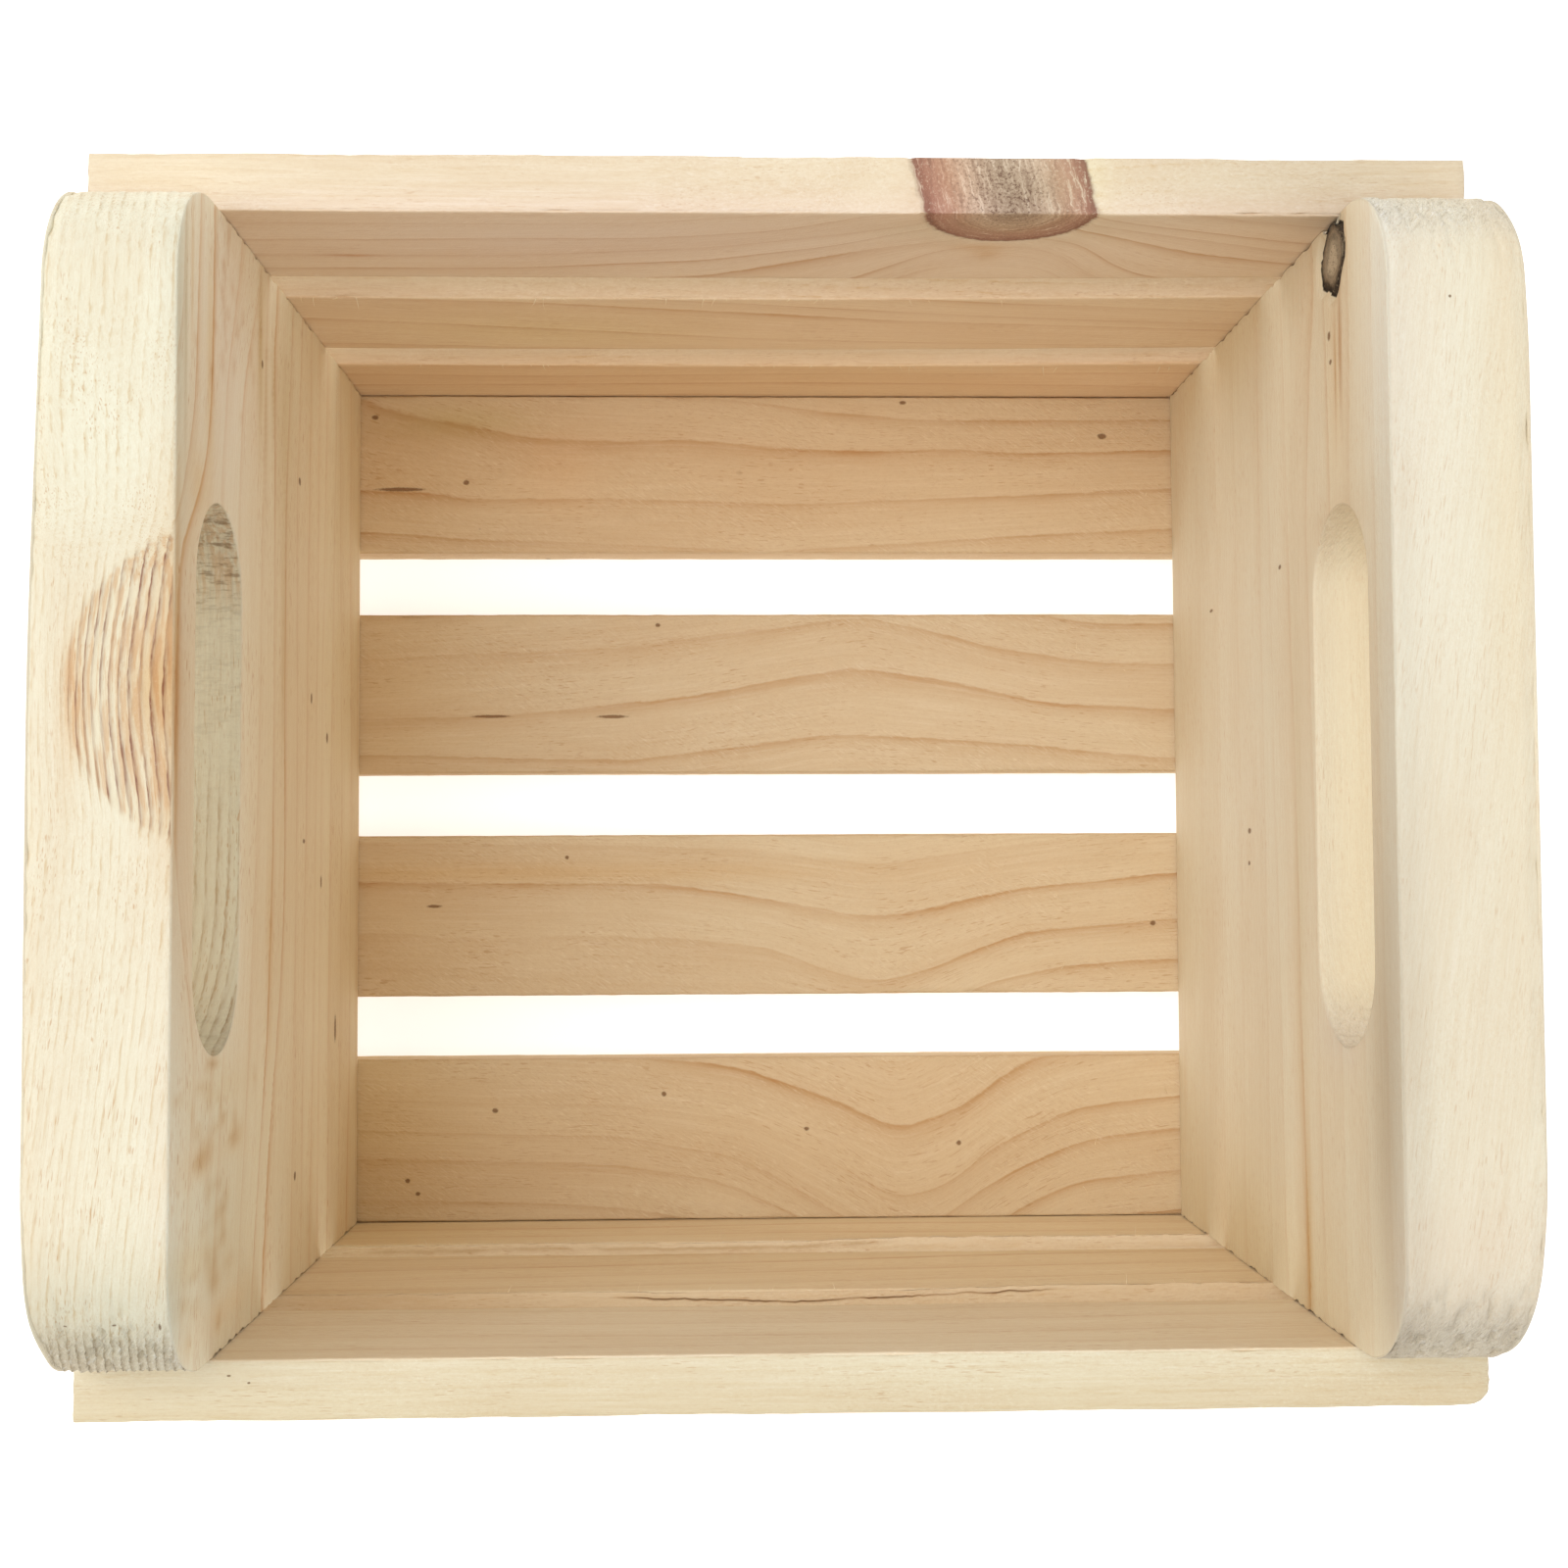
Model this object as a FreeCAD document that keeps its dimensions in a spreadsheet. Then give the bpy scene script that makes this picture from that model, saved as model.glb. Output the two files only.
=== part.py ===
"""Small wooden apple crate: two solid end boards, nailed slats, a hand slot in each end.

Frame: +X along the crate from the left end board to the right one, +Y towards the back,
+Z up. The origin is on the resting surface, under the middle of the crate.
"""
import FreeCAD, Part
import os

import Sketcher
from FreeCAD import Placement, Rotation, Vector

# Driving dimensions in millimetres. Each becomes one named cell of the spreadsheet.
DIMENSIONS = {
    "inner_length": 161.4,        # clear distance between the two end boards
    "inner_width": 163.0,         # width of an end board, so also between the side walls
    "board_thickness": 19.3,      # end boards
    "overall_height": 138.5,      # resting surface to the top of the end boards
    "wall_height": 117.0,         # resting surface to the top of the side walls
    "corner_radius": 16.0,        # rounded top corners of the end boards
    "slot_length": 78.0,          # hand slot, over its round ends
    "slot_height": 25.0,
    "wood_over_slot": 10.9,       # left between the slot and the top of the board
    "slat_width": 31.7,
    "slat_thickness": 8.7,
    "eased_edge": 0.5,            # sanded edges of the boards and slats
    "slot_eased_edge": 0.9,       # rounding where a hand takes hold
    "nail_length": 25.0,          # under the head
    "nail_diameter": 1.5,
    "nail_head_diameter": 3.4,
    "nail_head_thickness": 0.8,
    "nail_recess": 0.3,           # how far the heads are set below the wood
    "nail_point": 0.5,            # chamfer at the tip
    "nail_edge_distance": 7.5,    # from a slat's long edge
    "low_nail_height": 5.8,       # lowest wall nails, above the lower edge of the end board
    "wall_nail_end": 7.0,         # from a wall slat's end
    "floor_nail_end": 12.3,       # from a floor slat's end, so the two sets of nails pass
}

WALL_SLATS = ("bottom", "middle", "top")
FLOOR_SLAT_COUNT = 4

# Expressions that several parts share.
HALF_SLAT = "(Dimensions.inner_length / 2 + Dimensions.board_thickness)"
BOARD_HEIGHT = "(Dimensions.overall_height - Dimensions.slat_thickness)"
WALL_GAP = "((Dimensions.wall_height - 3 * Dimensions.slat_width) / 2)"
FLOOR_GAP = "((Dimensions.inner_width - 4 * Dimensions.slat_width) / 3)"
NEAR_EDGE = "Dimensions.nail_edge_distance"
FAR_EDGE = "(Dimensions.slat_width - Dimensions.nail_edge_distance)"
LOW_NAIL = "(Dimensions.slat_thickness + Dimensions.low_nail_height)"
NAIL_DEPTH_IN_BOARD = (
    "Dimensions.nail_length + Dimensions.nail_head_thickness + Dimensions.nail_recess"
    " - Dimensions.slat_thickness"
)

doc = FreeCAD.newDocument("AppleCrate")


def make_sheet():
    sheet = doc.addObject("Spreadsheet::Sheet", "Dimensions")
    for row, (alias, value) in enumerate(DIMENSIONS.items(), start=1):
        sheet.set(f"A{row}", alias)
        sheet.set(f"B{row}", str(value))
        sheet.setAlias(f"B{row}", alias)
    doc.recompute()
    return sheet


def new_body(label):
    body = doc.addObject("PartDesign::Body", label)
    body.Label = label
    return body


def new_sketch(body, role, name, offset=None):
    """A sketch on one of the body's own origin planes, moved along its normal by offset."""
    sketch = body.newObject("Sketcher::SketchObject", name)
    plane = next(item for item in body.Origin.OriginFeatures if item.Role == role)
    sketch.AttachmentSupport = [(plane, "")]
    sketch.MapMode = "FlatFace"
    if offset:
        sketch.setExpression("AttachmentOffset.Base.z", offset)
    return sketch


def constrain(sketch, kind, expression, *geometry):
    """Add one dimension to a sketch and bind it to the sheet."""
    index = sketch.addConstraint(Sketcher.Constraint(kind, *geometry, 1.0))
    sketch.setExpression(f"Constraints[{index}]", expression)


def value_of(expression):
    """The present value of an expression of sheet cells, used to draw sketches near true."""
    result = sheet.evalExpression(expression)
    return getattr(result, "Value", result)


def add_circles(sketch, diameter, centres):
    """Circles of one size, each at a pair of expressions measured from the sketch's origin."""
    for across, up in centres:
        centre = Vector(value_of(across), value_of(up), 0)
        circle = sketch.addGeometry(Part.Circle(centre, Vector(0, 0, 1), value_of(diameter) / 2))
        constrain(sketch, "DistanceX", across, -1, 1, circle, 3)
        constrain(sketch, "DistanceY", up, -1, 1, circle, 3)
        constrain(sketch, "Diameter", diameter, circle)


def add_rectangle(sketch, left, right, low, high):
    """A rectangle between four expressions."""
    x0, x1, y0, y1 = (value_of(side) for side in (left, right, low, high))
    corners = [Vector(x0, y0, 0), Vector(x1, y0, 0), Vector(x1, y1, 0), Vector(x0, y1, 0)]
    lines = []
    for start, end in zip(corners, corners[1:] + corners[:1]):
        lines.append(sketch.addGeometry(Part.LineSegment(start, end)))
    for line, following in zip(lines, lines[1:] + lines[:1]):
        sketch.addConstraint(Sketcher.Constraint("Coincident", line, 2, following, 1))
    for line, direction in zip(lines, ("Horizontal", "Vertical") * 2):
        sketch.addConstraint(Sketcher.Constraint(direction, line))
    constrain(sketch, "DistanceX", left, -1, 1, lines[0], 1)
    constrain(sketch, "DistanceY", low, -1, 1, lines[0], 1)
    constrain(sketch, "DistanceX", right, -1, 1, lines[2], 1)
    constrain(sketch, "DistanceY", high, -1, 1, lines[2], 1)


def pad(body, sketch, length):
    feature = body.newObject("PartDesign::Pad", sketch.Name + "Pad")
    feature.Profile = sketch
    feature.setExpression("Length", length)
    doc.recompute()
    return feature


def cut_holes(body, sketch, reverse, depth=None, heads=False):
    """Nail holes at a sketch's circles: through the piece, or to a depth; heads sunk or not."""
    volume_before = body.Shape.Volume
    hole = body.newObject("PartDesign::Hole", sketch.Name + "Holes")
    hole.Profile = sketch
    doc.recompute()
    hole.Reversed = reverse
    hole.setExpression("Diameter", "Dimensions.nail_diameter")
    hole.DrillPoint = "Flat"
    if depth:
        hole.DepthType = "Dimension"
        hole.setExpression("Depth", depth)
    else:
        hole.DepthType = "ThroughAll"
    if heads:
        hole.HoleCutType = "Counterbore"
        hole.setExpression("HoleCutDiameter", "Dimensions.nail_head_diameter")
        hole.setExpression("HoleCutDepth", "Dimensions.nail_head_thickness + Dimensions.nail_recess")
    doc.recompute()
    if body.Shape.Volume >= volume_before:
        raise RuntimeError(f"{hole.Name} removed nothing from {body.Label}")
    return hole


def fillet_edges(body, name, radius, wanted):
    """Round the edges of the body's tip that wanted(edge) picks."""
    tip = body.Tip
    names = [f"Edge{i}" for i, edge in enumerate(tip.Shape.Edges, start=1) if wanted(edge)]
    feature = body.newObject("PartDesign::Fillet", name)
    feature.Base = (tip, names)
    feature.setExpression("Radius", radius)
    doc.recompute()
    return feature


def runs_along(edge, axis):
    """True for a straight edge parallel to the axis."""
    if not isinstance(edge.Curve, Part.Line):
        return False
    return abs(edge.Curve.Direction.dot(axis)) > 0.999


def at(value, target):
    return abs(value - target) < 0.01


def both_ends(from_end, rows):
    """Nail centres at both ends of a slat: the given distance from each end, on each row."""
    reach = f"({HALF_SLAT} - {from_end})"
    return [(side + reach, row) for side in ("-", "") for row in rows]


def make_slat(label, nail_centres):
    """One slat: its outer face is at the body's Z = 0 and its lower edge at Y = 0."""
    body = new_body(label)
    outline = new_sketch(body, "XY_Plane", label + "_outline")
    add_rectangle(outline, "-" + HALF_SLAT, HALF_SLAT, "0 mm", "Dimensions.slat_width")
    pad(body, outline, "Dimensions.slat_thickness")
    long_edge = Vector(1, 0, 0)
    fillet_edges(body, label + "_eased", "Dimensions.eased_edge",
                 lambda edge: runs_along(edge, long_edge))
    nails = new_sketch(body, "XY_Plane", label + "_nail")
    add_circles(nails, "Dimensions.nail_diameter", nail_centres)
    cut_holes(body, nails, reverse=True, heads=True)
    return body


def make_nails(label, nail_centres):
    """The four wire nails of one slat, in the slat's own coordinates, driven along +Z."""
    body = new_body(label)
    body.AllowCompound = True
    heads = new_sketch(body, "XY_Plane", label + "_head", "Dimensions.nail_recess")
    add_circles(heads, "Dimensions.nail_head_diameter", nail_centres)
    pad(body, heads, "Dimensions.nail_head_thickness")
    shanks = new_sketch(body, "XY_Plane", label + "_shank", "Dimensions.nail_recess")
    add_circles(shanks, "Dimensions.nail_diameter", nail_centres)
    shank_pad = pad(body, shanks, "Dimensions.nail_length + Dimensions.nail_head_thickness")
    tip_height = value_of("Dimensions.nail_recess + Dimensions.nail_length"
                          " + Dimensions.nail_head_thickness")
    tips = [f"Edge{i}" for i, edge in enumerate(shank_pad.Shape.Edges, start=1)
            if isinstance(edge.Curve, Part.Circle) and at(edge.Curve.Center.z, tip_height)]
    point = body.newObject("PartDesign::Chamfer", label + "_point")
    point.Base = (shank_pad, tips)
    point.setExpression("Size", "Dimensions.nail_point")
    doc.recompute()
    return body


def board_outline(sketch):
    """End board: square lower corners, two rounded top corners."""
    half = value_of("Dimensions.inner_width / 2")
    top = value_of(BOARD_HEIGHT)
    radius = value_of("Dimensions.corner_radius")
    shoulder = top - radius
    flat = half - radius
    turn = Vector(radius * 0.5 ** 0.5, radius * 0.5 ** 0.5, 0)
    right_centre = Vector(flat, shoulder, 0)
    left_centre = Vector(-flat, shoulder, 0)
    base = Part.LineSegment(Vector(-half, 0, 0), Vector(half, 0, 0))
    right = Part.LineSegment(Vector(half, 0, 0), Vector(half, shoulder, 0))
    right_round = Part.Arc(Vector(half, shoulder, 0), right_centre + turn, Vector(flat, top, 0))
    top_line = Part.LineSegment(Vector(flat, top, 0), Vector(-flat, top, 0))
    mirrored_turn = Vector(-turn.x, turn.y, 0)
    left_round = Part.Arc(Vector(-flat, top, 0), left_centre + mirrored_turn,
                          Vector(-half, shoulder, 0))
    left = Part.LineSegment(Vector(-half, shoulder, 0), Vector(-half, 0, 0))
    sketch.addGeometry([base, right, right_round, top_line, left_round, left])
    joined = Sketcher.Constraint
    sketch.addConstraint([
        joined("Coincident", 0, 2, 1, 1), joined("Tangent", 1, 2, 2, 1),
        joined("Tangent", 2, 2, 3, 1), joined("Tangent", 3, 2, 4, 1),
        joined("Tangent", 4, 2, 5, 1), joined("Coincident", 5, 2, 0, 1),
        joined("Horizontal", 0), joined("Vertical", 1), joined("Vertical", 5),
        joined("Horizontal", 3), joined("Equal", 2, 4),
    ])
    constrain(sketch, "DistanceX", "-Dimensions.inner_width / 2", -1, 1, 0, 1)
    constrain(sketch, "DistanceX", "Dimensions.inner_width / 2", -1, 1, 0, 2)
    constrain(sketch, "DistanceY", "0 mm", -1, 1, 0, 1)
    constrain(sketch, "DistanceY", BOARD_HEIGHT, -1, 1, 3, 1)
    constrain(sketch, "Radius", "Dimensions.corner_radius", 2)


def slot_outline(sketch):
    """Hand slot: two straight sides and two half-round ends, level and centred."""
    radius = value_of("Dimensions.slot_height / 2")
    reach = value_of("Dimensions.slot_length / 2") - radius
    height = value_of(f"{BOARD_HEIGHT} - Dimensions.wood_over_slot") - radius
    corners = [Vector(-reach, height - radius, 0), Vector(reach, height - radius, 0),
               Vector(reach, height + radius, 0), Vector(-reach, height + radius, 0)]
    lower = Part.LineSegment(corners[0], corners[1])
    right = Part.Arc(corners[1], Vector(reach + radius, height, 0), corners[2])
    upper = Part.LineSegment(corners[2], corners[3])
    left = Part.Arc(corners[3], Vector(-reach - radius, height, 0), corners[0])
    sketch.addGeometry([lower, right, upper, left])
    for first, second in ((0, 1), (1, 2), (2, 3), (3, 0)):
        sketch.addConstraint(Sketcher.Constraint("Tangent", first, 2, second, 1))
    sketch.addConstraint(Sketcher.Constraint("Horizontal", 0))
    straight = "Dimensions.slot_length / 2 - Dimensions.slot_height / 2"
    constrain(sketch, "DistanceX", f"-({straight})", -1, 1, 0, 1)
    constrain(sketch, "DistanceX", straight, -1, 1, 0, 2)
    constrain(sketch, "DistanceY", f"{BOARD_HEIGHT} - Dimensions.wood_over_slot", -1, 1, 2, 1)
    constrain(sketch, "Radius", "Dimensions.slot_height / 2", 1)


def make_end_board(label, inner_face_first):
    """One end board. Its thickness runs along +X from the body's YZ plane, its lower edge is
    at Z = 0. inner_face_first says that the face at X = 0 is the one inside the crate."""
    body = new_body(label)
    outline = new_sketch(body, "YZ_Plane", label + "_outline")
    board_outline(outline)
    pad(body, outline, "Dimensions.board_thickness")

    slot = new_sketch(body, "YZ_Plane", label + "_slot")
    slot_outline(slot)
    volume_before = body.Shape.Volume
    pocket = body.newObject("PartDesign::Pocket", label + "_slot_cut")
    pocket.Profile = slot
    pocket.Type = "ThroughAll"
    pocket.Reversed = True
    doc.recompute()
    if body.Shape.Volume >= volume_before:
        raise RuntimeError(f"the hand slot of {label} is not cut")

    half = value_of("Dimensions.inner_width / 2")
    slot_half = value_of("Dimensions.slot_length / 2")
    slot_top = value_of(f"{BOARD_HEIGHT} - Dimensions.wood_over_slot")
    slot_low = slot_top - value_of("Dimensions.slot_height")
    thickness = value_of("Dimensions.board_thickness")

    def on_slot_rim(edge):
        box = edge.BoundBox
        on_a_face = at(box.XMin, box.XMax) and (at(box.XMin, 0) or at(box.XMin, thickness))
        within = box.YMax < slot_half + 0.01 and box.YMin > -slot_half - 0.01
        return on_a_face and within and box.ZMin > slot_low - 0.01 and box.ZMax < slot_top + 0.01

    fillet_edges(body, label + "_slot_eased", "Dimensions.slot_eased_edge", on_slot_rim)

    def on_top_rim(edge):
        box = edge.BoundBox
        on_a_face = at(box.XMin, box.XMax) and (at(box.XMin, 0) or at(box.XMin, thickness))
        outside = box.ZMax > slot_top + 0.01 or at(abs(box.YMin), half) or at(box.YMax, half)
        return on_a_face and outside and box.ZMin > 0.01 and box.ZMax > slot_top - 0.01

    fillet_edges(body, label + "_top_eased", "Dimensions.eased_edge", on_top_rim)

    # Nail holes: the walls' nails enter the two upright edges, the floor's the lower edge.
    if inner_face_first:
        wall_x = "(Dimensions.board_thickness - Dimensions.wall_nail_end)"
        floor_x = "(Dimensions.board_thickness - Dimensions.floor_nail_end)"
    else:
        wall_x = "Dimensions.wall_nail_end"
        floor_x = "Dimensions.floor_nail_end"
    wall_heights = []
    for level in range(len(WALL_SLATS)):
        for across in wall_nail_rows(level):
            lift = f"{level} * (Dimensions.slat_width + {WALL_GAP})"
            wall_heights.append(f"({across} + {lift} - Dimensions.slat_thickness)")
    wall_centres = [(wall_x, height) for height in wall_heights]
    half_width = "Dimensions.inner_width / 2"
    front = new_sketch(body, "XZ_Plane", label + "_front_nail", half_width)
    add_circles(front, "Dimensions.nail_diameter", wall_centres)
    cut_holes(body, front, reverse=False, depth=NAIL_DEPTH_IN_BOARD)
    back = new_sketch(body, "XZ_Plane", label + "_back_nail", f"-{half_width}")
    add_circles(back, "Dimensions.nail_diameter", wall_centres)
    cut_holes(body, back, reverse=True, depth=NAIL_DEPTH_IN_BOARD)
    floor_centres = []
    for place in range(FLOOR_SLAT_COUNT):
        for across in (NEAR_EDGE, FAR_EDGE):
            start = f"{place} * (Dimensions.slat_width + {FLOOR_GAP}) - {half_width}"
            floor_centres.append((floor_x, f"({across} + {start})"))
    lower = new_sketch(body, "XY_Plane", label + "_lower_nail")
    add_circles(lower, "Dimensions.nail_diameter", floor_centres)
    cut_holes(body, lower, reverse=True, depth=NAIL_DEPTH_IN_BOARD)
    return body


def wall_nail_rows(level):
    """Where a wall slat's nails are across its width. The lowest slat covers the floor slats'
    edge with its lower part, so both of its nails are higher, in the end board."""
    return (LOW_NAIL if level == 0 else NEAR_EDGE, FAR_EDGE)


def place(body, rotation, y=None, z=None, x=None):
    """Turn a body, then bind its position to the sheet."""
    body.Placement = Placement(Vector(0, 0, 0), rotation)
    for axis, expression in (("x", x), ("y", y), ("z", z)):
        if expression:
            body.setExpression(f"Placement.Base.{axis}", expression)


sheet = make_sheet()
parts = []

# End boards, standing on the floor slats.
left_board = make_end_board("left_end_panel", inner_face_first=False)
place(left_board, Rotation(), x=f"-{HALF_SLAT}", z="Dimensions.slat_thickness")
right_board = make_end_board("right_end_panel", inner_face_first=True)
place(right_board, Rotation(), x="Dimensions.inner_length / 2", z="Dimensions.slat_thickness")
parts += [left_board, right_board]

# Floor slats, numbered from the front; the first and last lie against the walls.
for number in range(FLOOR_SLAT_COUNT):
    centres = both_ends("Dimensions.floor_nail_end", (NEAR_EDGE, FAR_EDGE))
    lift = f"{number} * (Dimensions.slat_width + {FLOOR_GAP}) - Dimensions.inner_width / 2"
    slat = make_slat(f"floor_slat_{number + 1}", centres)
    nails = make_nails(f"floor_slat_{number + 1}_nails", centres)
    for body in (slat, nails):
        place(body, Rotation(), y=lift)
    parts += [slat, nails]

# Wall slats. Each body's Z axis points into the crate. On the back wall its Y axis points up;
# the front wall is the back wall turned half round about the crate's upright axis.
INTO_CRATE = {
    "back": Rotation(Vector(1, 0, 0), 90),
    "front": Rotation(Vector(0, 0, 1), 180).multiply(Rotation(Vector(1, 0, 0), 90)),
}
OUTER_FACE = {
    "back": "Dimensions.inner_width / 2 + Dimensions.slat_thickness",
    "front": "-(Dimensions.inner_width / 2 + Dimensions.slat_thickness)",
}
for wall in ("back", "front"):
    for level, height_name in enumerate(WALL_SLATS):
        centres = both_ends("Dimensions.wall_nail_end", wall_nail_rows(level))
        lift = f"{level} * (Dimensions.slat_width + {WALL_GAP})"
        slat = make_slat(f"{wall}_{height_name}_slat", centres)
        nails = make_nails(f"{wall}_{height_name}_slat_nails", centres)
        for body in (slat, nails):
            place(body, INTO_CRATE[wall], y=OUTER_FACE[wall], z=lift)
        parts += [slat, nails]

doc.recompute()

for item in doc.Objects:
    if "Invalid" in item.State or "Error" in item.State:
        raise RuntimeError(f"{item.Label} failed: {item.State}")
for part in parts:
    if part.Shape.isNull() or not part.Shape.isValid():
        raise RuntimeError(f"{part.Label} has no valid shape")

os.makedirs("parts", exist_ok=True)
for part in parts:
    part.Shape.exportStep(f"parts/{part.Label}.step")
    print(f"{part.Label}: {len(part.Shape.Solids)} solid(s), {part.Shape.Volume:.1f} mm3")
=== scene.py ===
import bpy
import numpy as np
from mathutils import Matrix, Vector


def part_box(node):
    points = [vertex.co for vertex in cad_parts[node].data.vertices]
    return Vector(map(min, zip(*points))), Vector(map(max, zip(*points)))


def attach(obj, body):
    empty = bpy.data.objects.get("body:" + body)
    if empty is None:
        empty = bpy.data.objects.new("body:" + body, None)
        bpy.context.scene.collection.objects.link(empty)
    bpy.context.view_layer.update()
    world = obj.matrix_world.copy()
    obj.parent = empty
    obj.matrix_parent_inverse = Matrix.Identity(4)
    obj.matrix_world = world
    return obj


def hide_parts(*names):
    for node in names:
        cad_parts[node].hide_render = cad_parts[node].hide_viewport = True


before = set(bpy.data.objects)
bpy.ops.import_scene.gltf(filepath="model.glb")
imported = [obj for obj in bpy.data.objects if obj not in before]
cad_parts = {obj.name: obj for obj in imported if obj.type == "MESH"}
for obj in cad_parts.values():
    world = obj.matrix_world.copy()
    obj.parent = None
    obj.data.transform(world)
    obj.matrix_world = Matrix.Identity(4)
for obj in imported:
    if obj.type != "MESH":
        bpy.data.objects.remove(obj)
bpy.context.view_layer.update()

# A small crate of planed pine: two thick end panels with hand slots, and slats nailed on between them.
# Every board is a dense closed mesh with its own worn edges, saw marks and knots. Its figure is described by
# a few growth rings, drawn as (along, across, strength) points in millimetres of the crate's frame. The mesh
# carries the ring number at each point, and the material turns it into grain.

MM = 0.001


# ---- plain maths

WORD = 0xFFFFFFFF
FRACTION = 0xFFFFFF
PLAIN = (1.0, 1.0, 1.0)


def smooth(low, high, value):
    """0 below low, 1 above high, and an eased step between them."""
    t = np.clip((value - low) / (high - low), 0.0, 1.0)
    return t * t * (3.0 - 2.0 * t)


def bump(value, centre, width):
    """A bell-shaped bump of height 1."""
    return np.exp(-(((value - centre) / width) ** 2))


def unit(vectors):
    """The vectors, each brought to length 1."""
    return vectors / np.maximum(np.linalg.norm(vectors, axis=-1, keepdims=True), 1e-9)


def lattice(cells, seed):
    """An even random number from 0 to 1 for each whole-number cell, by hashing its three numbers."""
    mixed = (cells[..., 0] * 73856093) ^ (cells[..., 1] * 19349663) ^ (cells[..., 2] * 83492791)
    mixed = (mixed + seed * 2654435761) & WORD
    for shift, factor in ((15, 2246822519), (13, 3266489917)):
        mixed = ((mixed ^ (mixed >> shift)) * factor) & WORD
    return ((mixed ^ (mixed >> 16)) & FRACTION) / float(FRACTION)


def noise(points, size, seed):
    """Smooth noise from 0 to 1, with features of the given size along each axis."""
    scaled = points / np.asarray(size, float)
    cell = np.floor(scaled).astype(np.int64)
    part = scaled - cell
    part = part * part * (3.0 - 2.0 * part)
    total = np.zeros(len(points))
    for corner in np.ndindex(2, 2, 2):
        weight = np.ones(len(points))
        for axis in range(3):
            weight = weight * (part[:, axis] if corner[axis] else 1.0 - part[:, axis])
        total += weight * lattice(cell + np.array(corner), seed)
    return total


# ---- growth rings

RING_GAP = 8.0          # millimetres between rings beyond the outermost drawn ones
CLOSEST_RINGS = 0.4
CURVE_END = 140.0       # drawn curves run from -CURVE_END to CURVE_END
CURVE_STEP = 0.5
CURVE_REACH = 30        # how many steps the softening of a drawn curve reaches


def drawn_curve(rows, at, column=1, softness=4.0):
    """A smooth curve through a few drawn rows, whose first column is the place along the board."""
    rows = np.array(rows, float)
    fine = np.arange(-CURVE_END, CURVE_END, CURVE_STEP)
    reach = np.arange(-CURVE_REACH, CURVE_REACH + 1) * CURVE_STEP
    kernel = np.exp(-((reach / softness) ** 2))
    padded = np.pad(np.interp(fine, rows[:, 0], rows[:, column]), CURVE_REACH, mode="edge")
    return np.interp(at, fine, np.convolve(padded, kernel / kernel.sum(), mode="valid"))


def rings_between(rings, along, across):
    """Ring number and line strength at each point of a face, counted across it from ring to ring."""
    heights = np.array([drawn_curve(ring, along) for ring in rings])
    strengths = np.array([drawn_curve(ring, along, 2) for ring in rings])
    number = (np.minimum(across - heights[0], 0.0) + np.maximum(across - heights[-1], 0.0)) / RING_GAP
    strength = strengths[0].copy()
    for below in range(len(rings) - 1):
        room = np.maximum(heights[below + 1] - heights[below], CLOSEST_RINGS)
        share = np.clip((across - heights[below]) / room, 0.0, 1.0)
        number = number + share
        strength = strength + share * (strengths[below + 1] - strengths[below])
    return number, strength


# ---- meshes

ARRIS = 0.5             # eased edges of the slats
CLOSE_STEPS = np.arange(-2.45, 2.5, 0.35)
SMALLEST_STEP = 0.06
FIBRE_LENGTH = 2.2
ATTRIBUTE_KINDS = {1: ("FLOAT", "value"), 3: ("FLOAT_VECTOR", "vector"), 4: ("FLOAT_COLOR", "color")}


def box_of(node):
    """The low and high corners of a CAD node's box, in millimetres."""
    return [np.array(corner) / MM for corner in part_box(node)]


def box_surface(places):
    """Points and outward quads of a closed box gridded at the given places along each axis."""
    sizes = [len(p) for p in places]
    quads = []
    for axis in range(3):
        a = (axis + 1) % 3
        b = (axis + 2) % 3
        i, j = np.meshgrid(np.arange(sizes[a] - 1), np.arange(sizes[b] - 1), indexing="ij")
        for end in (0, sizes[axis] - 1):
            steps = [(0, 0), (1, 0), (1, 1), (0, 1)]
            corners = []
            for step_a, step_b in steps if end else steps[::-1]:
                index = [np.full(i.size, end)] * 3
                index[a] = i.ravel() + step_a
                index[b] = j.ravel() + step_b
                corners.append(np.ravel_multi_index(index, sizes))
            quads.append(np.stack(corners, -1))
    used, quads = np.unique(np.concatenate(quads), return_inverse=True)
    grid = np.unravel_index(used, sizes)
    points = np.stack([places[axis][grid[axis]] for axis in range(3)], -1)
    return points, quads.reshape(-1, 4)


def face_steps(low, high, step, close=()):
    """Grid positions across a face, closer together at its eased edges and around the given places."""
    arris = ARRIS * np.tan(np.radians([0.0, 15.0, 30.0, 45.0]))
    positions = list(np.linspace(low + ARRIS, high - ARRIS, max(3, int(round((high - low) / step)))))
    positions += list(low + ARRIS - arris) + list(high - ARRIS + arris)
    for place in close:
        positions += list(place + CLOSE_STEPS)
    positions = np.unique(np.round(np.clip(positions, low, high), 3))
    keep = np.concatenate([[True], np.diff(positions) > SMALLEST_STEP])
    keep[-1] = True
    return positions[keep]


def turned_out(points, quads):
    """The quads of a closed mesh, flipped if they face inwards."""
    across = np.cross(points[quads[:, 2]] - points[quads[:, 0]], points[quads[:, 3]] - points[quads[:, 1]])
    volume = (points[quads].mean(1) * across).sum()
    return quads if volume > 0.0 else quads[:, ::-1]


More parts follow.
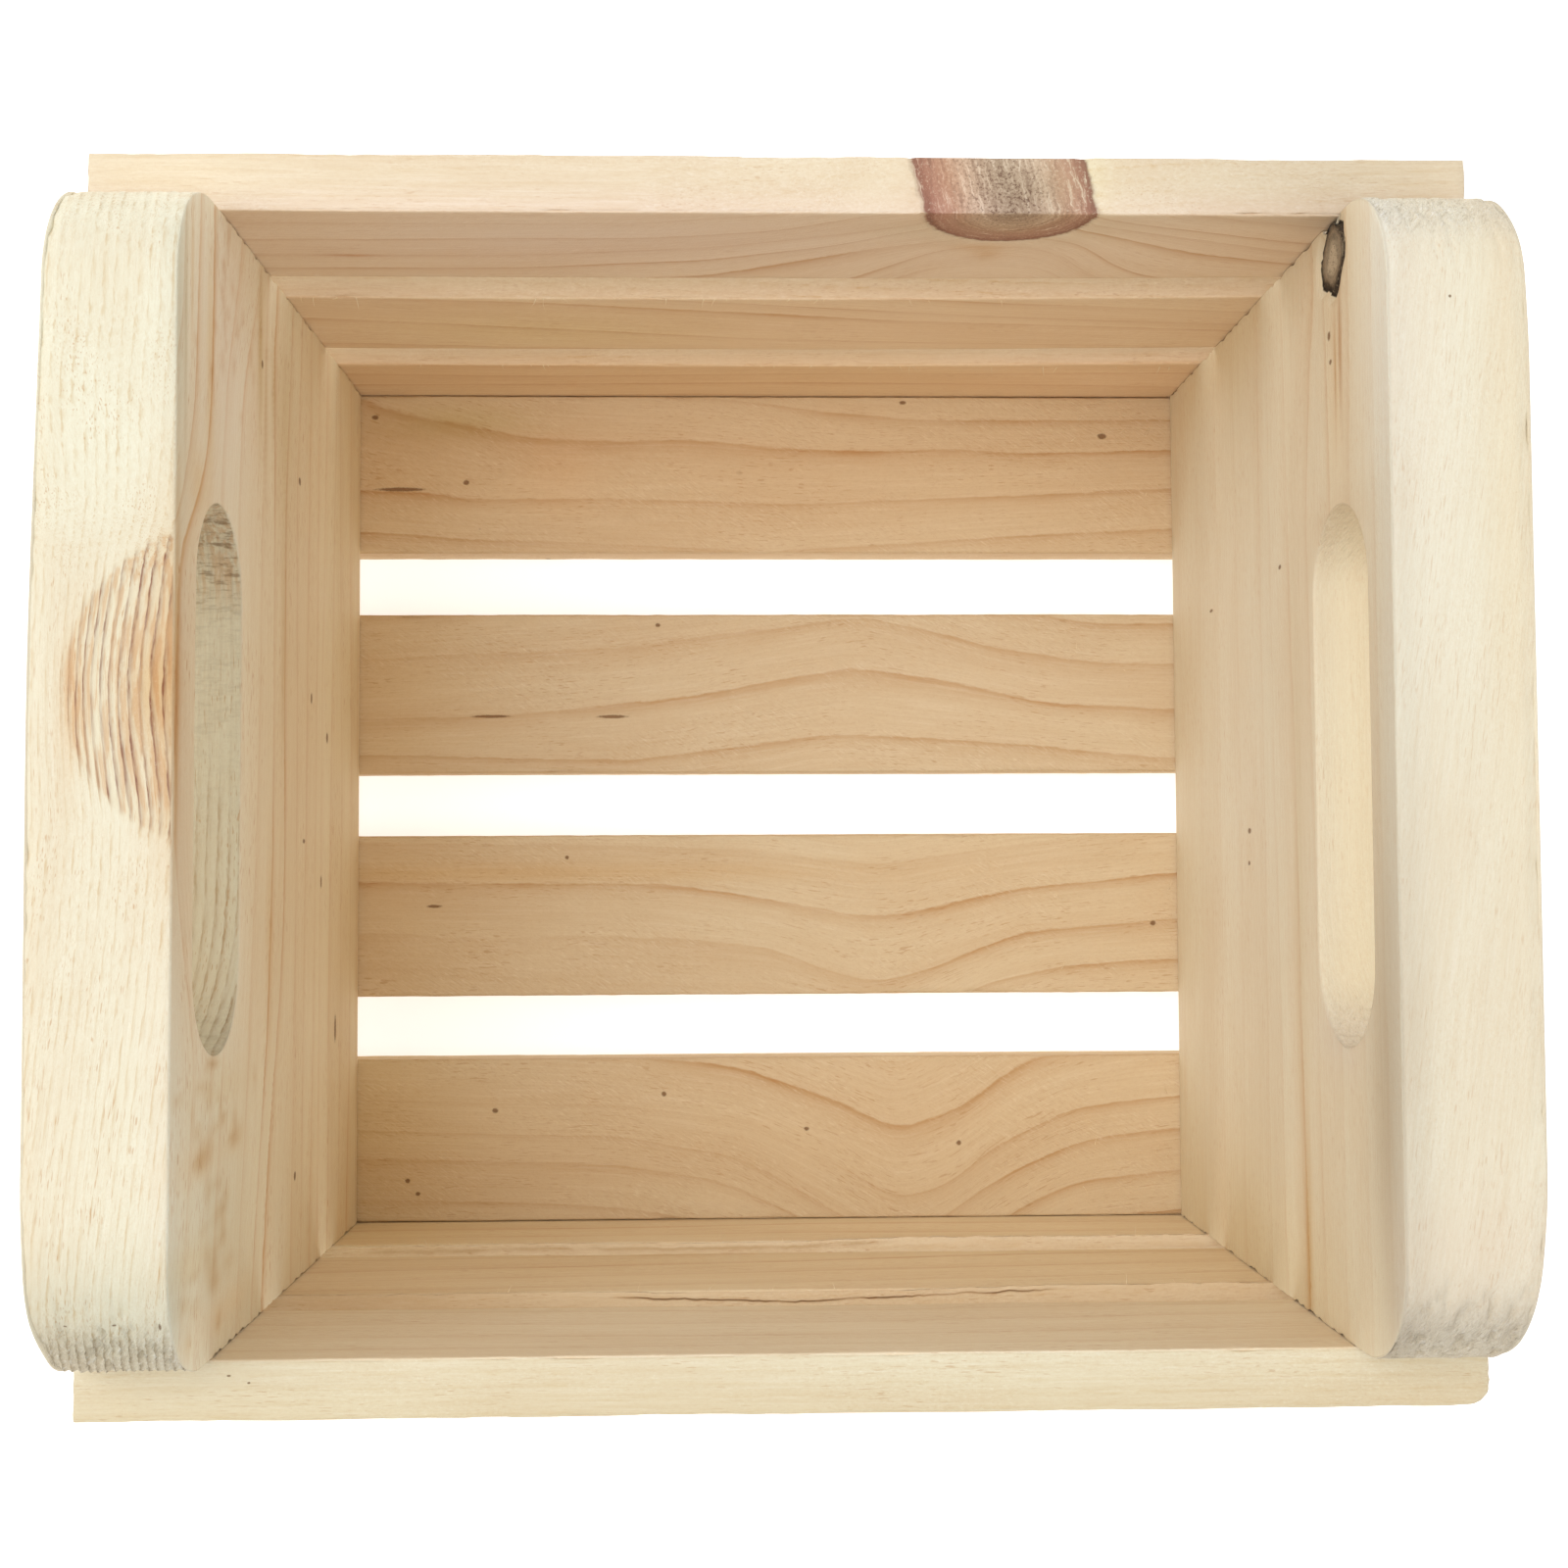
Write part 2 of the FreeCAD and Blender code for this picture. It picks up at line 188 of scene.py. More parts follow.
def tube_quads(rows, sides):
    """Quads of a closed tube made of rings of points, its two ends filled by strips across them."""
    row, turn = np.meshgrid(np.arange(rows - 1), np.arange(sides), indexing="ij")
    a = (row * sides + turn).ravel()
    b = (row * sides + (turn + 1) % sides).ravel()
    k = np.arange(sides // 2 - 1)
    cap = np.stack([k, k + 1, sides - 2 - k, sides - 1 - k], -1)
    wall = np.stack([a, b, b + sides, a + sides], -1)
    return np.concatenate([wall, cap[:, ::-1], cap + (rows - 1) * sides])


def placed(name, data):
    """A new object in the scene."""
    thing = bpy.data.objects.new(name, data)
    bpy.context.scene.collection.objects.link(thing)
    return thing


def build_piece(name, node, slot, material, points, quads, **attributes):
    """A smooth-shaded mesh from points in millimetres, in the crate's frame and in place of its CAD node."""
    mesh = bpy.data.meshes.new(name)
    mesh.vertices.add(len(points))
    mesh.vertices.foreach_set("co", (points * MM).astype(np.float32).ravel())
    mesh.loops.add(quads.size)
    mesh.loops.foreach_set("vertex_index", quads.astype(np.int32).ravel())
    mesh.polygons.add(len(quads))
    mesh.polygons.foreach_set("loop_start", np.arange(0, quads.size, 4, dtype=np.int32))
    mesh.polygons.foreach_set("use_smooth", np.ones(len(quads), bool))
    for key, values in attributes.items():
        kind, field = ATTRIBUTE_KINDS[values.size // len(points)]
        layer = mesh.attributes.new(key, kind, "POINT")
        layer.data.foreach_set(field, values.astype(np.float32).ravel())
    mesh.update()
    mesh.validate()
    mesh.materials.append(material)
    piece = placed(name, mesh)
    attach(piece, "root")
    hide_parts(node)


def torn_fibres(places, seed):
    """Short curled fibres left by the saw, as thin tapered tubes. Each place is (point, direction)."""
    chance = np.random.default_rng(seed)
    share = np.linspace(0.0, 1.0, 7)[:, None, None]
    turn = np.radians([45.0, 135.0, 225.0, 315.0])[None, :, None]
    one = tube_quads(share.size, turn.size)
    points = []
    for start, direction in places:
        along = unit(np.asarray(direction, float) + chance.normal(0.0, 0.35, 3))
        lean = unit(np.cross(along, chance.normal(0.0, 1.0, 3)))
        reach = FIBRE_LENGTH * chance.uniform(0.35, 1.0)
        curl = chance.uniform(0.15, 0.6) * reach
        thick = chance.uniform(0.05, 0.11) * (1.0 - 0.8 * share)
        centre = np.asarray(start, float) + along * reach * share + lean * curl * share ** 2
        fibre = centre + thick * (np.cos(turn) * lean + np.sin(turn) * np.cross(along, lean))
        points.append(fibre.reshape(-1, 3))
    quads = [one + len(points[0]) * k for k in range(len(points))]
    return np.concatenate(points), np.concatenate(quads)


# ---- materials

def colour(red, green, blue):
    """A display colour, 0 to 255, as the linear colour that a shader takes."""
    values = np.array([red, green, blue]) / 255.0
    linear = np.where(values <= 0.04045, values / 12.92, ((values + 0.055) / 1.055) ** 2.4)
    return (float(linear[0]), float(linear[1]), float(linear[2]), 1.0)


class Nodes:
    """Adds nodes to one material and joins them up. Values are sockets or plain numbers."""

    def __init__(self, name):
        self.material = bpy.data.materials.new(name)
        self.material.use_nodes = True
        self.tree = self.material.node_tree
        self.tree.nodes.clear()
        principled = self.new("BsdfPrincipled")
        self.surface = principled.inputs
        self.put(self.new("OutputMaterial").inputs["Surface"], principled.outputs["BSDF"])

    def new(self, kind):
        return self.tree.nodes.new("ShaderNode" + kind)

    def put(self, socket, value):
        if isinstance(value, bpy.types.NodeSocket):
            self.tree.links.new(value, socket)
        elif value is not None:
            socket.default_value = value

    def maths(self, operation, *values):
        node = self.new("Math")
        node.operation = operation
        for index, value in enumerate(values):
            self.put(node.inputs[index], value)
        return node.outputs[0]

    def times(self, product, *factors):
        for factor in factors:
            product = self.maths("MULTIPLY", product, factor)
        return product

    def plus(self, total, *rows):
        """The total and, for each row, its value times its weight."""
        for value, weight in rows:
            total = self.maths("MULTIPLY_ADD", value, weight, total)
        return total

    def vector(self, operation, a, b=None):
        node = self.new("VectorMath")
        node.operation = operation
        self.put(node.inputs[0], a)
        self.put(node.inputs[1], b)
        return node.outputs["Value" if operation == "LENGTH" else "Vector"]

    def turned(self, vector, axis, angle):
        node = self.new("VectorRotate")
        node.inputs["Axis"].default_value = axis
        node.inputs["Angle"].default_value = angle
        self.put(node.inputs["Vector"], vector)
        return node.outputs[0]

    def step(self, value, low, high, start=0.0, end=1.0):
        """start up to low, end from high on, and an eased step between them."""
        node = self.new("MapRange")
        node.interpolation_type = "SMOOTHSTEP"
        keys = ("Value", "From Min", "From Max", "To Min", "To Max")
        for key, number in zip(keys, (value, low, high, start, end)):
            self.put(node.inputs[key], number)
        return node.outputs["Result"]

    def noise(self, vector, detail=2.0, roughness=0.5):
        node = self.new("TexNoise")
        node.inputs["Scale"].default_value = 1.0
        node.inputs["Detail"].default_value = detail
        node.inputs["Roughness"].default_value = roughness
        self.put(node.inputs["Vector"], vector)
        return node.outputs["Fac"]

    def mix(self, factor, a, b, blend="MIX"):
        node = self.new("Mix")
        node.data_type = "RGBA"
        node.blend_type = blend
        for socket, value in zip((node.inputs["Factor"], node.inputs[6], node.inputs[7]), (factor, a, b)):
            self.put(socket, value)
        return node.outputs[2]

    def layered(self, shade, *coats):
        """A shade under several coats, each (how much of it shows, its own shade)."""
        for amount, coat in coats:
            shade = self.mix(amount, shade, coat)
        return shade

    def ramp(self, value, stops):
        node = self.new("ValToRGB")
        elements = node.color_ramp.elements
        while len(elements) < len(stops):
            elements.new(0.5)
        for element, (place, shade) in zip(elements, stops):
            element.position = place
            element.color = shade
        self.put(node.inputs["Fac"], value)
        return node.outputs["Color"]

    def attribute(self, name, output="Fac"):
        node = self.new("Attribute")
        node.attribute_name = name
        return node.outputs[output]

    def parts(self, vector):
        node = self.new("SeparateXYZ")
        self.put(node.inputs[0], vector)
        return node.outputs[0], node.outputs[1], node.outputs[2]

    def finish(self, shade, roughness, height, strength, distance):
        """Sets the surface from a shade, a roughness and a relief, and returns the material."""
        relief = self.new("Bump")
        relief.inputs["Strength"].default_value = strength
        relief.inputs["Distance"].default_value = distance
        self.put(relief.inputs["Height"], height)
        self.put(self.surface["Base Color"], shade)
        self.put(self.surface["Roughness"], roughness)
        self.put(self.surface["Normal"], relief.outputs["Normal"])
        return self.material


PALE_WOOD = colour(255, 246, 228)
PITCH = colour(128, 86, 44)
SPECK = colour(122, 84, 48)
TORN_WOOD = colour(132, 98, 60)


def pine(node, wood_shades, seed, face_axis, flecks=0.25, pits=0.0, fuzzy=0.5, knot=None):
    """Planed pine. The mesh gives the ring number, the grain's own coordinates, tints, knots and end grain.

    wood_shades are the early and the late wood, and face_axis is the board's thickness direction. flecks and
    pits are how much resin shows, and fuzzy is how rough the planer left it. knot is (shades from the heart
    out, bark shade, light shade, streaks from the heart to the bark, how much the bark's line shows).
    """
    n = Nodes("pine_" + node)
    early, late = wood_shades
    grain = n.attribute("grain", "Vector")
    stain = n.attribute("tint", "Alpha")
    edge = n.attribute("edge")
    strength, knot_reach, end = n.parts(n.attribute("look", "Vector"))
    place = n.vector("MULTIPLY", n.new("TexCoord").outputs["Object"], (1.0 / MM,) * 3)

    def by_edge(on_face, on_edge):
        """One value on the faces of the board and another on its edge walls."""
        return n.step(edge, 0.0, 1.0, on_face, on_edge)

    def in_grain(length, width, shift):
        """The grain's coordinates in units of this length and width, moved to a place of their own."""
        offset = seed + shift
        scaled = n.vector("MULTIPLY", grain, (1.0 / length, 1.0 / width, 1.0 / width))
        return n.vector("ADD", scaled, (offset, offset * 1.7, offset * 2.3))

    def fibrous(length, width, shift, detail=2.0, roughness=0.5):
        """Noise with features of this length along the grain and this width across it."""
        return n.noise(in_grain(length, width, shift), detail, roughness)

    # Growth rings: each darkens slowly and stops sharply at its latewood edge.
    sway = n.maths("SUBTRACT", fibrous(40.0, 9.0, 0.0), 0.5)
    waver = n.maths("SUBTRACT", fibrous(3.0, 0.6, 3.1, 2.0, 0.65), 0.5)
    wandering = n.plus(n.attribute("ring"), (sway, 0.20), (waver, by_edge(0.09, 0.45)))
    phase = n.maths("FRACT", wandering)
    thin = n.maths("POWER", phase, by_edge(11.0, 3.0))
    wide = n.maths("POWER", phase, 3.5)
    stopped = n.step(phase, by_edge(0.95, 0.84), 1.0, 1.0, 0.0)
    patchy = n.step(fibrous(22.0, 3.0, 7.7), 0.25, 0.75, 0.55, 1.25)
    dashes = n.step(fibrous(4.0, 0.55, 15.0), 0.42, 0.62, 0.15, 1.25)
    broken = n.times(edge, n.step(stain, 0.0, 0.6, 1.0, 0.45), n.step(end, 0.0, 1.0, 1.0, 0.4))
    dashed = n.plus(1.0, (n.maths("SUBTRACT", dashes, 1.0), broken))
    late_wood = n.times(n.plus(0.0, (wide, 0.34), (thin, 0.80)), stopped, strength, patchy, dashed)

    # Fibres, fine fuzz, broad patches and short resin flecks, all running with the grain.
    fibre = fibrous(14.0, 0.42, 1.3, 3.0, 0.65)
    fuzz = fibrous(1.1, 0.22, 5.9, 2.0, 0.7)
    broad = fibrous(60.0, 9.0, 11.0)
    fleck = n.step(fibrous(2.0, 0.20, 2.2, 0.0), 0.66, 0.78)
    fleck_gate = n.step(fibrous(18.0, 5.0, 8.8, 1.0), 0.4, 0.62)

    # The planer leaves short strokes across the fibres, and a fine tooth all over.
    stroke_size = (0.32, 2.02, 0.32) if face_axis[0] else (2.02, 0.32, 0.32)
    stroke = n.noise(n.vector("DIVIDE", n.turned(place, face_axis, 0.55), stroke_size), 2.0, 0.6)
    stroke_gate = n.step(fibrous(24.0, 9.0, 13.0), 0.38, 0.62)
    tooth = n.noise(n.vector("MULTIPLY", place, (2.6, 2.6, 2.6)), 2.0, 0.7)

    # End grain is greyer, pitted by the cut fibres and torn where it is rough. The sander left it dented.
    pore = fibrous(6.0, 0.30, 6.1, 2.0, 0.8)
    tear = n.step(n.noise(n.vector("DIVIDE", place, (3.4, 0.85, 2.2)), 3.0, 0.7), 0.45, 0.68)
    slanted = n.turned(place, (0.0, 0.0, 1.0), 0.6)
    dent = n.noise(n.vector("DIVIDE", slanted, (0.38, 1.7, 1.2)), 2.0, 0.65)
    dented = n.times(end, n.step(stain, 0.0, 0.3, 1.0, 0.0))

    fill = n.step(fibrous(7.0, 0.8, 21.0, 3.0), 0.42, 0.62, 0.0, 0.55)
    line_shade = n.mix(stain, n.mix(edge, late, colour(214, 184, 136)), colour(146, 102, 84))
    resin = tuple(part * share for part, share in zip(late, (0.84, 0.68, 0.48, 1.0)))
    wood = n.layered(
        early,
        (n.step(broad, 0.3, 0.7, 0.0, 0.4), n.mix(0.40, early, late)),
        (n.times(fill, edge, n.step(stain, 0.45, 0.95)), colour(214, 166, 116)),
        (n.times(late_wood, 0.95), line_shade),
        (n.step(fibre, 0.45, 0.8, 0.0, 0.13), late),
        (n.step(fibre, 0.52, 0.2, 0.0, 0.18), PALE_WOOD),
        (n.step(fuzz, 0.35, 0.75, 0.0, 0.12), late),
        (n.times(n.step(stroke, 0.52, 0.78, 0.0, 0.34 * fuzzy), stroke_gate), late),
        (n.times(n.step(stroke, 0.46, 0.22, 0.0, 0.40 * fuzzy), stroke_gate), colour(255, 246, 226)),
        (n.step(tooth, 0.55, 0.8, 0.0, 0.26 * fuzzy), late),
        (n.times(fleck, fleck_gate, flecks), resin),
    )
    relief = [(fibre, 0.55), (fuzz, 0.30), (late_wood, 0.25), (n.times(pore, end), 1.2),
              (n.times(dent, dented), 4.5), (n.times(stroke, stroke_gate), 0.9 * fuzzy), (tooth, 0.5 * fuzzy)]
    if pits:
        cells = n.new("TexVoronoi")
        cells.inputs["Scale"].default_value = 1.0
        n.put(cells.inputs["Vector"], in_grain(13.0, 7.0, 4.4))
        chosen, size, _ = n.parts(cells.outputs["Color"])
        away = n.maths("DIVIDE", cells.outputs["Distance"], n.plus(0.025, (size, 0.045)))
        pit = n.times(n.step(away, 0.6, 1.3, 1.0, 0.0), n.step(chosen, 1.0 - 0.45 * pits, 1.02 - 0.45 * pits))
        wood = n.mix(n.times(pit, 0.75), wood, PITCH)
        relief.append((pit, -0.9))
    if node in SPOTS:
        spotted = 0.0
        for centre, size in SPOTS[node]:
            away = n.vector("LENGTH", n.vector("DIVIDE", n.vector("SUBTRACT", place, centre), size))
            spotted = n.maths("MAXIMUM", spotted, n.step(n.plus(away, (tooth, 0.7)), 0.95, 1.55, 1.0, 0.0))
        wood = n.mix(n.times(spotted, 0.80), wood, SPECK)
        relief.append((spotted, -1.2))
    cut_wood = n.layered(wood, (n.step(pore, 0.35, 0.7, 0.0, 0.4), colour(198, 179, 152)),
                         (n.times(late_wood, 0.8), colour(146, 138, 120)))
    wood = n.layered(
        wood,
        (n.times(end, 0.8), cut_wood),
        (n.times(tear, end, stain, 0.85), TORN_WOOD),
        (n.times(n.step(dent, 0.46, 0.28, 0.0, 0.50), dented), colour(176, 160, 132)),
        (n.times(n.step(dent, 0.54, 0.72, 0.0, 0.50), dented), colour(255, 248, 232)),
    )

    if knot:
        shades, bark_shade, light, streaks, bark_weight = knot
        ragged = n.maths("SUBTRACT", fibrous(1.6, 1.6, 9.9, 3.0), 0.5)
        reach = n.plus(knot_reach, (ragged, 0.10))
        inside = n.step(reach, 0.97, 1.02, 1.0, 0.0)
        along, _, through = n.parts(grain)
        streak_place = n.new("CombineXYZ")
        for index, (value, scale) in enumerate(((reach, streaks), (through, 0.16), (along, 0.16))):
            n.put(streak_place.inputs[index], n.times(value, scale))
        streak = n.noise(streak_place.outputs[0], 3.0, 0.65)
        speckle = n.noise(n.vector("MULTIPLY", place, (2.4, 2.4, 2.4)), 2.0, 0.8)
        speckled = n.times(n.step(speckle, 0.52, 0.66), n.step(reach, 0.8, 0.1, 0.12, 0.85))
        heart = n.layered(
            n.ramp(reach, shades),
            (n.step(streak, 0.50, 0.72, 0.0, 0.42), bark_shade),
            (n.step(streak, 0.47, 0.33, 0.0, 0.60), light),
            (speckled, bark_shade),
            (n.step(speckle, 0.45, 0.32, 0.0, 0.35), light),
        )
        bark = n.times(n.step(reach, 0.92, 1.0), n.step(reach, 1.0, 1.05, 1.0, 0.0))
        wood = n.layered(wood, (inside, heart), (n.times(bark, bark_weight), bark_shade))
        relief += [(bark, -1.2), (n.times(streak, inside), 0.8)]

    n.surface["Specular IOR Level"].default_value = 0.25
    tinted_wood = n.mix(1.0, wood, n.attribute("tint", "Color"), "MULTIPLY")
    return n.finish(tinted_wood, n.step(fibre, 0.2, 0.8, 0.60, 0.78), n.plus(0.0, *relief), 0.55, 0.00022)


def steel():
    """Bright wire-nail steel, dulled and slightly stained by the air."""
    n = Nodes("nail_steel")
    place = n.vector("MULTIPLY", n.attribute("grain", "Vector"), (0.9, 0.9, 0.9))
    cloud = n.noise(place, 4.0, 0.6)
    scratch = n.noise(n.vector("MULTIPLY", place, (9.0, 1.2, 9.0)), 3.0, 0.7)
    shade = n.layered(colour(176, 176, 174), (n.step(cloud, 0.35, 0.75), colour(132, 124, 114)),
                      (n.step(scratch, 0.5, 0.8, 0.0, 0.4), colour(208, 208, 206)))
    n.surface["Metallic"].default_value = 1.0
    return n.finish(shade, n.step(cloud, 0.2, 0.8, 0.34, 0.55), scratch, 0.3, 0.0001)


# ---- slats

LENGTH_STEP = 1.0       # spacing of the grid along, across and through a slat
WIDTH_STEP = 0.9
THICKNESS_STEP = 0.42
MARK_INSET = 1.6        # how far inwards of a slat's middle the marks on its top edge start out
HEAD_RADIUS = 1.7
HEAD_SINK = 0.62
NO_KNOT = 9.0           # a knot reach well outside any knot
FAR = 500.0             # a feature size that leaves noise unchanged along an axis
FRESH_WOOD = (1.22, 1.28, 1.38, 0.0)    # the tint and stain of a torn fibre


def shaded(tint, amount, multiplier):
    """The tint, multiplied in full where the amount is 1."""
    return tint * (1.0 + amount[:, None] * (np.array(multiplier) - 1.0))


def tinted(points, patches):
    """The product of soft patches of colour, each (centre, size, shade multiplier), at each point."""
    tint = np.ones((len(points), 3))
    for centre, size, multiplier in patches:
        offset = (points - np.array(centre)) / np.array(size)
        tint = shaded(tint, np.exp(-(offset ** 2).sum(1)), multiplier)
    return tint


def slat_grid(low, high, thick, nails, finer_at=None):
    """Points and quads of a slat's box, with a closer grid round its nails and, through it, at its marks."""
    steps = [None, None, None]
    for axis, step, column in ((0, LENGTH_STEP, 0), (3 - thick, WIDTH_STEP, 1)):
        nail_rows = sorted({round(nail[column], 3) for nail in nails})
        steps[axis] = face_steps(low[axis], high[axis], step, nail_rows)
    steps[thick] = face_steps(low[thick], high[thick], THICKNESS_STEP)
    if finer_at is not None:
        finer = finer_at + np.array([-0.3, -0.15, -0.07, 0.0, 0.07, 0.15, 0.3])
        apart = np.abs(steps[thick] - finer_at) > 0.4
        steps[thick] = np.sort(np.concatenate([steps[thick][apart], finer]))
    return box_surface(steps)


def with_fibres(fibres, seed, points, quads, attributes):
    """A board's points, quads and attributes, with torn fibres added to them."""
    hairs, hair_quads = torn_fibres(fibres, seed)
    own = {"edge": 0.0, "grain": hairs, "ring": 0.0, "look": (0.0, NO_KNOT, 0.0), "tint": FRESH_WOOD}
    joined = {}
    for key, values in attributes.items():
        more = np.broadcast_to(own[key], (len(hairs),) + values.shape[1:])
        joined[key] = np.concatenate([values, more])
    return np.concatenate([points, hairs]), np.concatenate([quads, hair_quads + len(points)]), joined


def make_slat(node, inner_side, material, seed, nails, fibres, layer=1.9, knots=(), marks=(), fades=(),
              top_tint=PLAIN, lift=(0.0, 0.0), sweep=None, worn_corner=0.0):
    """A slat along X, with heads sunk in at the places of its nails.

    inner_side is the sign of its inner face, and layer is the thickness of a growth ring. Each knot is
    (centre, radius, slant). Each mark, a crack or a dark ring along the top edge, is (drawn rows, width, how
    deep it is cut, shade). Each fade, where the rings die out, is (centre, size). lift is how far the lower
    and upper edges rise at the right end, and sweep moves the rings of the top edge by a number of rings at
    each place along it. worn_corner is the radius of the right end's outer corner.
    """
    low, high = box_of(node)
    thick = int(np.argmin(high - low))
    wide = 3 - thick
    start = 0.5 * (low[thick] + high[thick]) + MARK_INSET * inner_side
    points, quads = slat_grid(low, high, thick, nails, start if marks else None)

    def rough(shift, length, width):
        return noise(points, (length, width, width), seed + shift)

    ease = ARRIS + 0.45 * rough(1, 9.0, 50.0)[:, None] ** 2
    core = np.clip(points, low + ease, high - ease)
    normal = unit(points - core)
    points = core + ease * normal
    share = (points[:, wide] - low[wide]) / (high[wide] - low[wide])
    rise = np.clip(points[:, 0] / 80.0, 0.0, 1.25) ** 1.5
    points[:, wide] += rise * (lift[0] + share * (lift[1] - lift[0]))
    inner_face = (high if inner_side > 0 else low)[thick]
    if worn_corner:
        beyond = np.clip((points[:, 0] - high[0] + worn_corner) / worn_corner, 0.0, 1.0)
        out_share = np.abs(points[:, thick] - inner_face) / (high - low)[thick]
        points[:, thick] += inner_side * worn_corner * (1.0 - np.sqrt(1.0 - 0.98 * beyond ** 2)) * out_share

    # Nothing stands proud of the box: every mark is cut inwards.
    on_end = smooth(0.55, 0.9, np.abs(normal[:, 0]))
    on_arris = 1.0 - smooth(0.75, 0.98, np.abs(normal).max(1))
    on_edge = smooth(0.6, 0.95, np.abs(normal[:, wide]))
    on_top = smooth(0.5, 0.9, normal[:, wide])
    outside = smooth(0.6, 0.95, -inner_side * normal[:, thick])
    along = points[:, 0]
    across = points[:, wide]
    depth = 0.10 * rough(2, 38.0, 14.0) + on_edge * 0.10 * rough(3, 2.2, 1.4)
    depth += on_arris * (0.22 * rough(4, 2.4, 30.0) ** 2 + 0.45 * smooth(0.80, 0.97, rough(5, 3.6, 40.0)))
    depth += on_end * 0.22 * rough(6, 5.0, 0.8)
    depth += outside * smooth(high[wide] - 5.0, high[wide], across) * 0.40 * rough(12, 14.0, 50.0)

    number, strength = rings_between(RINGS[node], along, across)
    grain = np.stack([along, number * RING_GAP, points[:, thick]], -1)
    ring = number + (inner_face - points[:, thick]) * inner_side / layer
    if sweep:
        ring += on_top * sweep(along)
    for centre, size in fades:
        strength = strength * (1.0 - bump(along, centre[0], size[0]) * bump(across, centre[1], size[1]))
    tint = shaded(tinted(points, COLOUR_AND_PAINTED_LIGHT_PATCHES[node]), on_top, top_tint)
    if thick == 1:
        fuzzy_arris = bump(normal[:, 1] * inner_side, 0.75, 0.3) * bump(normal[:, 2], 0.75, 0.3)
        tint = shaded(tint, fuzzy_arris, (1.10, 1.13, 1.18))

    ragged = HEAD_RADIUS + 0.16 + 0.18 * rough(7, 0.9, 0.9)
    for nail_x, nail_v in nails:
        distance = np.hypot(along - nail_x, across - nail_v)
        dent = outside * (1.0 - smooth(ragged - 0.08, ragged + 0.22, distance))
        depth += HEAD_SINK * dent
        tint = shaded(tint, dent * smooth(1.1, 1.7, distance), 0.65)

    reach = np.full(len(points), NO_KNOT)
    for centre, radius, slant in knots:
        offset = points - np.array(centre)
        distance = np.hypot(offset[:, 0] - slant * offset[:, thick], offset[:, wide]) / radius
        reach = np.minimum(reach, distance)
        depth += 0.22 * bump(distance, 1.0, 0.06) + 0.10 * (1.0 - smooth(0.8, 1.0, distance))

    for rows, width, cut, shade in marks:
        path = drawn_curve(rows, along, softness=2.5)
        path += 0.35 * (rough(8, 2.2, FAR) - 0.5) + 0.22 * (rough(11, 0.9, FAR) - 0.5)
        room = np.minimum(points[:, thick] - low[thick], high[thick] - points[:, thick])
        shift = (path - start) * bump(points[:, thick], start, 2.6) * smooth(0.0, 1.4, room) * on_top
        length = smooth(rows[0][0] - 2.0, rows[0][0] + 8.0, along)
        length *= 1.0 - smooth(rows[-1][0] - 8.0, rows[-1][0] + 2.0, along)
        in_mark = bump(points[:, thick], start, width) * on_top * length
        opening = 0.35 + 1.1 * rough(9, 4.0, FAR)
        depth += cut * in_mark * np.clip(opening, 0.0, 1.2)
        # Along a mark the wood takes its shade: for the dark ring line this is the wood's own colour, and
        # along the cut crack it is painted shade added to the shade of the cut.
        tint = shaded(tint, in_mark * np.clip(opening, 0.3, 1.0), shade)
        points[:, thick] += shift

    points = points - normal * depth[:, None]
    end = smooth(0.5, 0.9, np.abs(normal[:, 0]))
    look = np.stack([np.clip(strength, 0.0, 2.0), reach, end], -1)
    tint = np.column_stack([tint, np.zeros(len(points))])
    attributes = {"edge": on_edge, "grain": grain, "ring": ring, "look": look, "tint": tint}
    if fibres:
        points, quads, attributes = with_fibres(fibres, seed, points, quads, attributes)
    build_piece("pine_" + node, node, "pine_slat", material, points, quads, **attributes)


# ---- end panels

AROUND = 560            # points around an end panel
PANEL_EASE = 0.5
COVERED_EASE = 0.12     # what is left of the eased edge where the walls cover it
SLOT_EASE = 0.5
# Rows of the grid over the inner face, the outer edge, the outer face and through the slot.
PANEL_ROWS = {"inner": 43, "rim": 54, "outer": 26, "slot": 24}
CORNER = 16.0
FOOT_CORNER = 0.8
SLOT_HALF_STRAIGHT = 26.5
SLOT_RADIUS = 12.5
SLOT_CENTRE = 115.1
WALL_TOP = 117.0


def panel_outline(half_width, bottom, top):
    """Evenly spaced (y, z) points and outward normals around an end panel."""
    corners = [
        (half_width - FOOT_CORNER, bottom + FOOT_CORNER, FOOT_CORNER, -90.0),
        (half_width - CORNER, top - CORNER, CORNER, 0.0),
        (-half_width + CORNER, top - CORNER, CORNER, 90.0),
        (-half_width + FOOT_CORNER, bottom + FOOT_CORNER, FOOT_CORNER, 180.0),
    ]
    points = []
    normals = []
    for centre_y, centre_z, radius, start in corners:
        angle = np.radians(np.linspace(start, start + 90.0, 91))
        normals.append(np.stack([np.cos(angle), np.sin(angle)], -1))
        points.append(np.array([centre_y, centre_z]) + radius * normals[-1])
    points, normals = (np.concatenate(rows + [rows[0][:1]]) for rows in (points, normals))
    travelled = np.concatenate([[0.0], np.cumsum(np.linalg.norm(np.diff(points, axis=0), axis=1))])
    places = np.arange(AROUND) * travelled[-1] / AROUND
    outline, normal = (np.stack([np.interp(places, travelled, rows[:, k]) for k in (0, 1)], -1)
                       for rows in (points, normals))
    return outline, unit(normal)


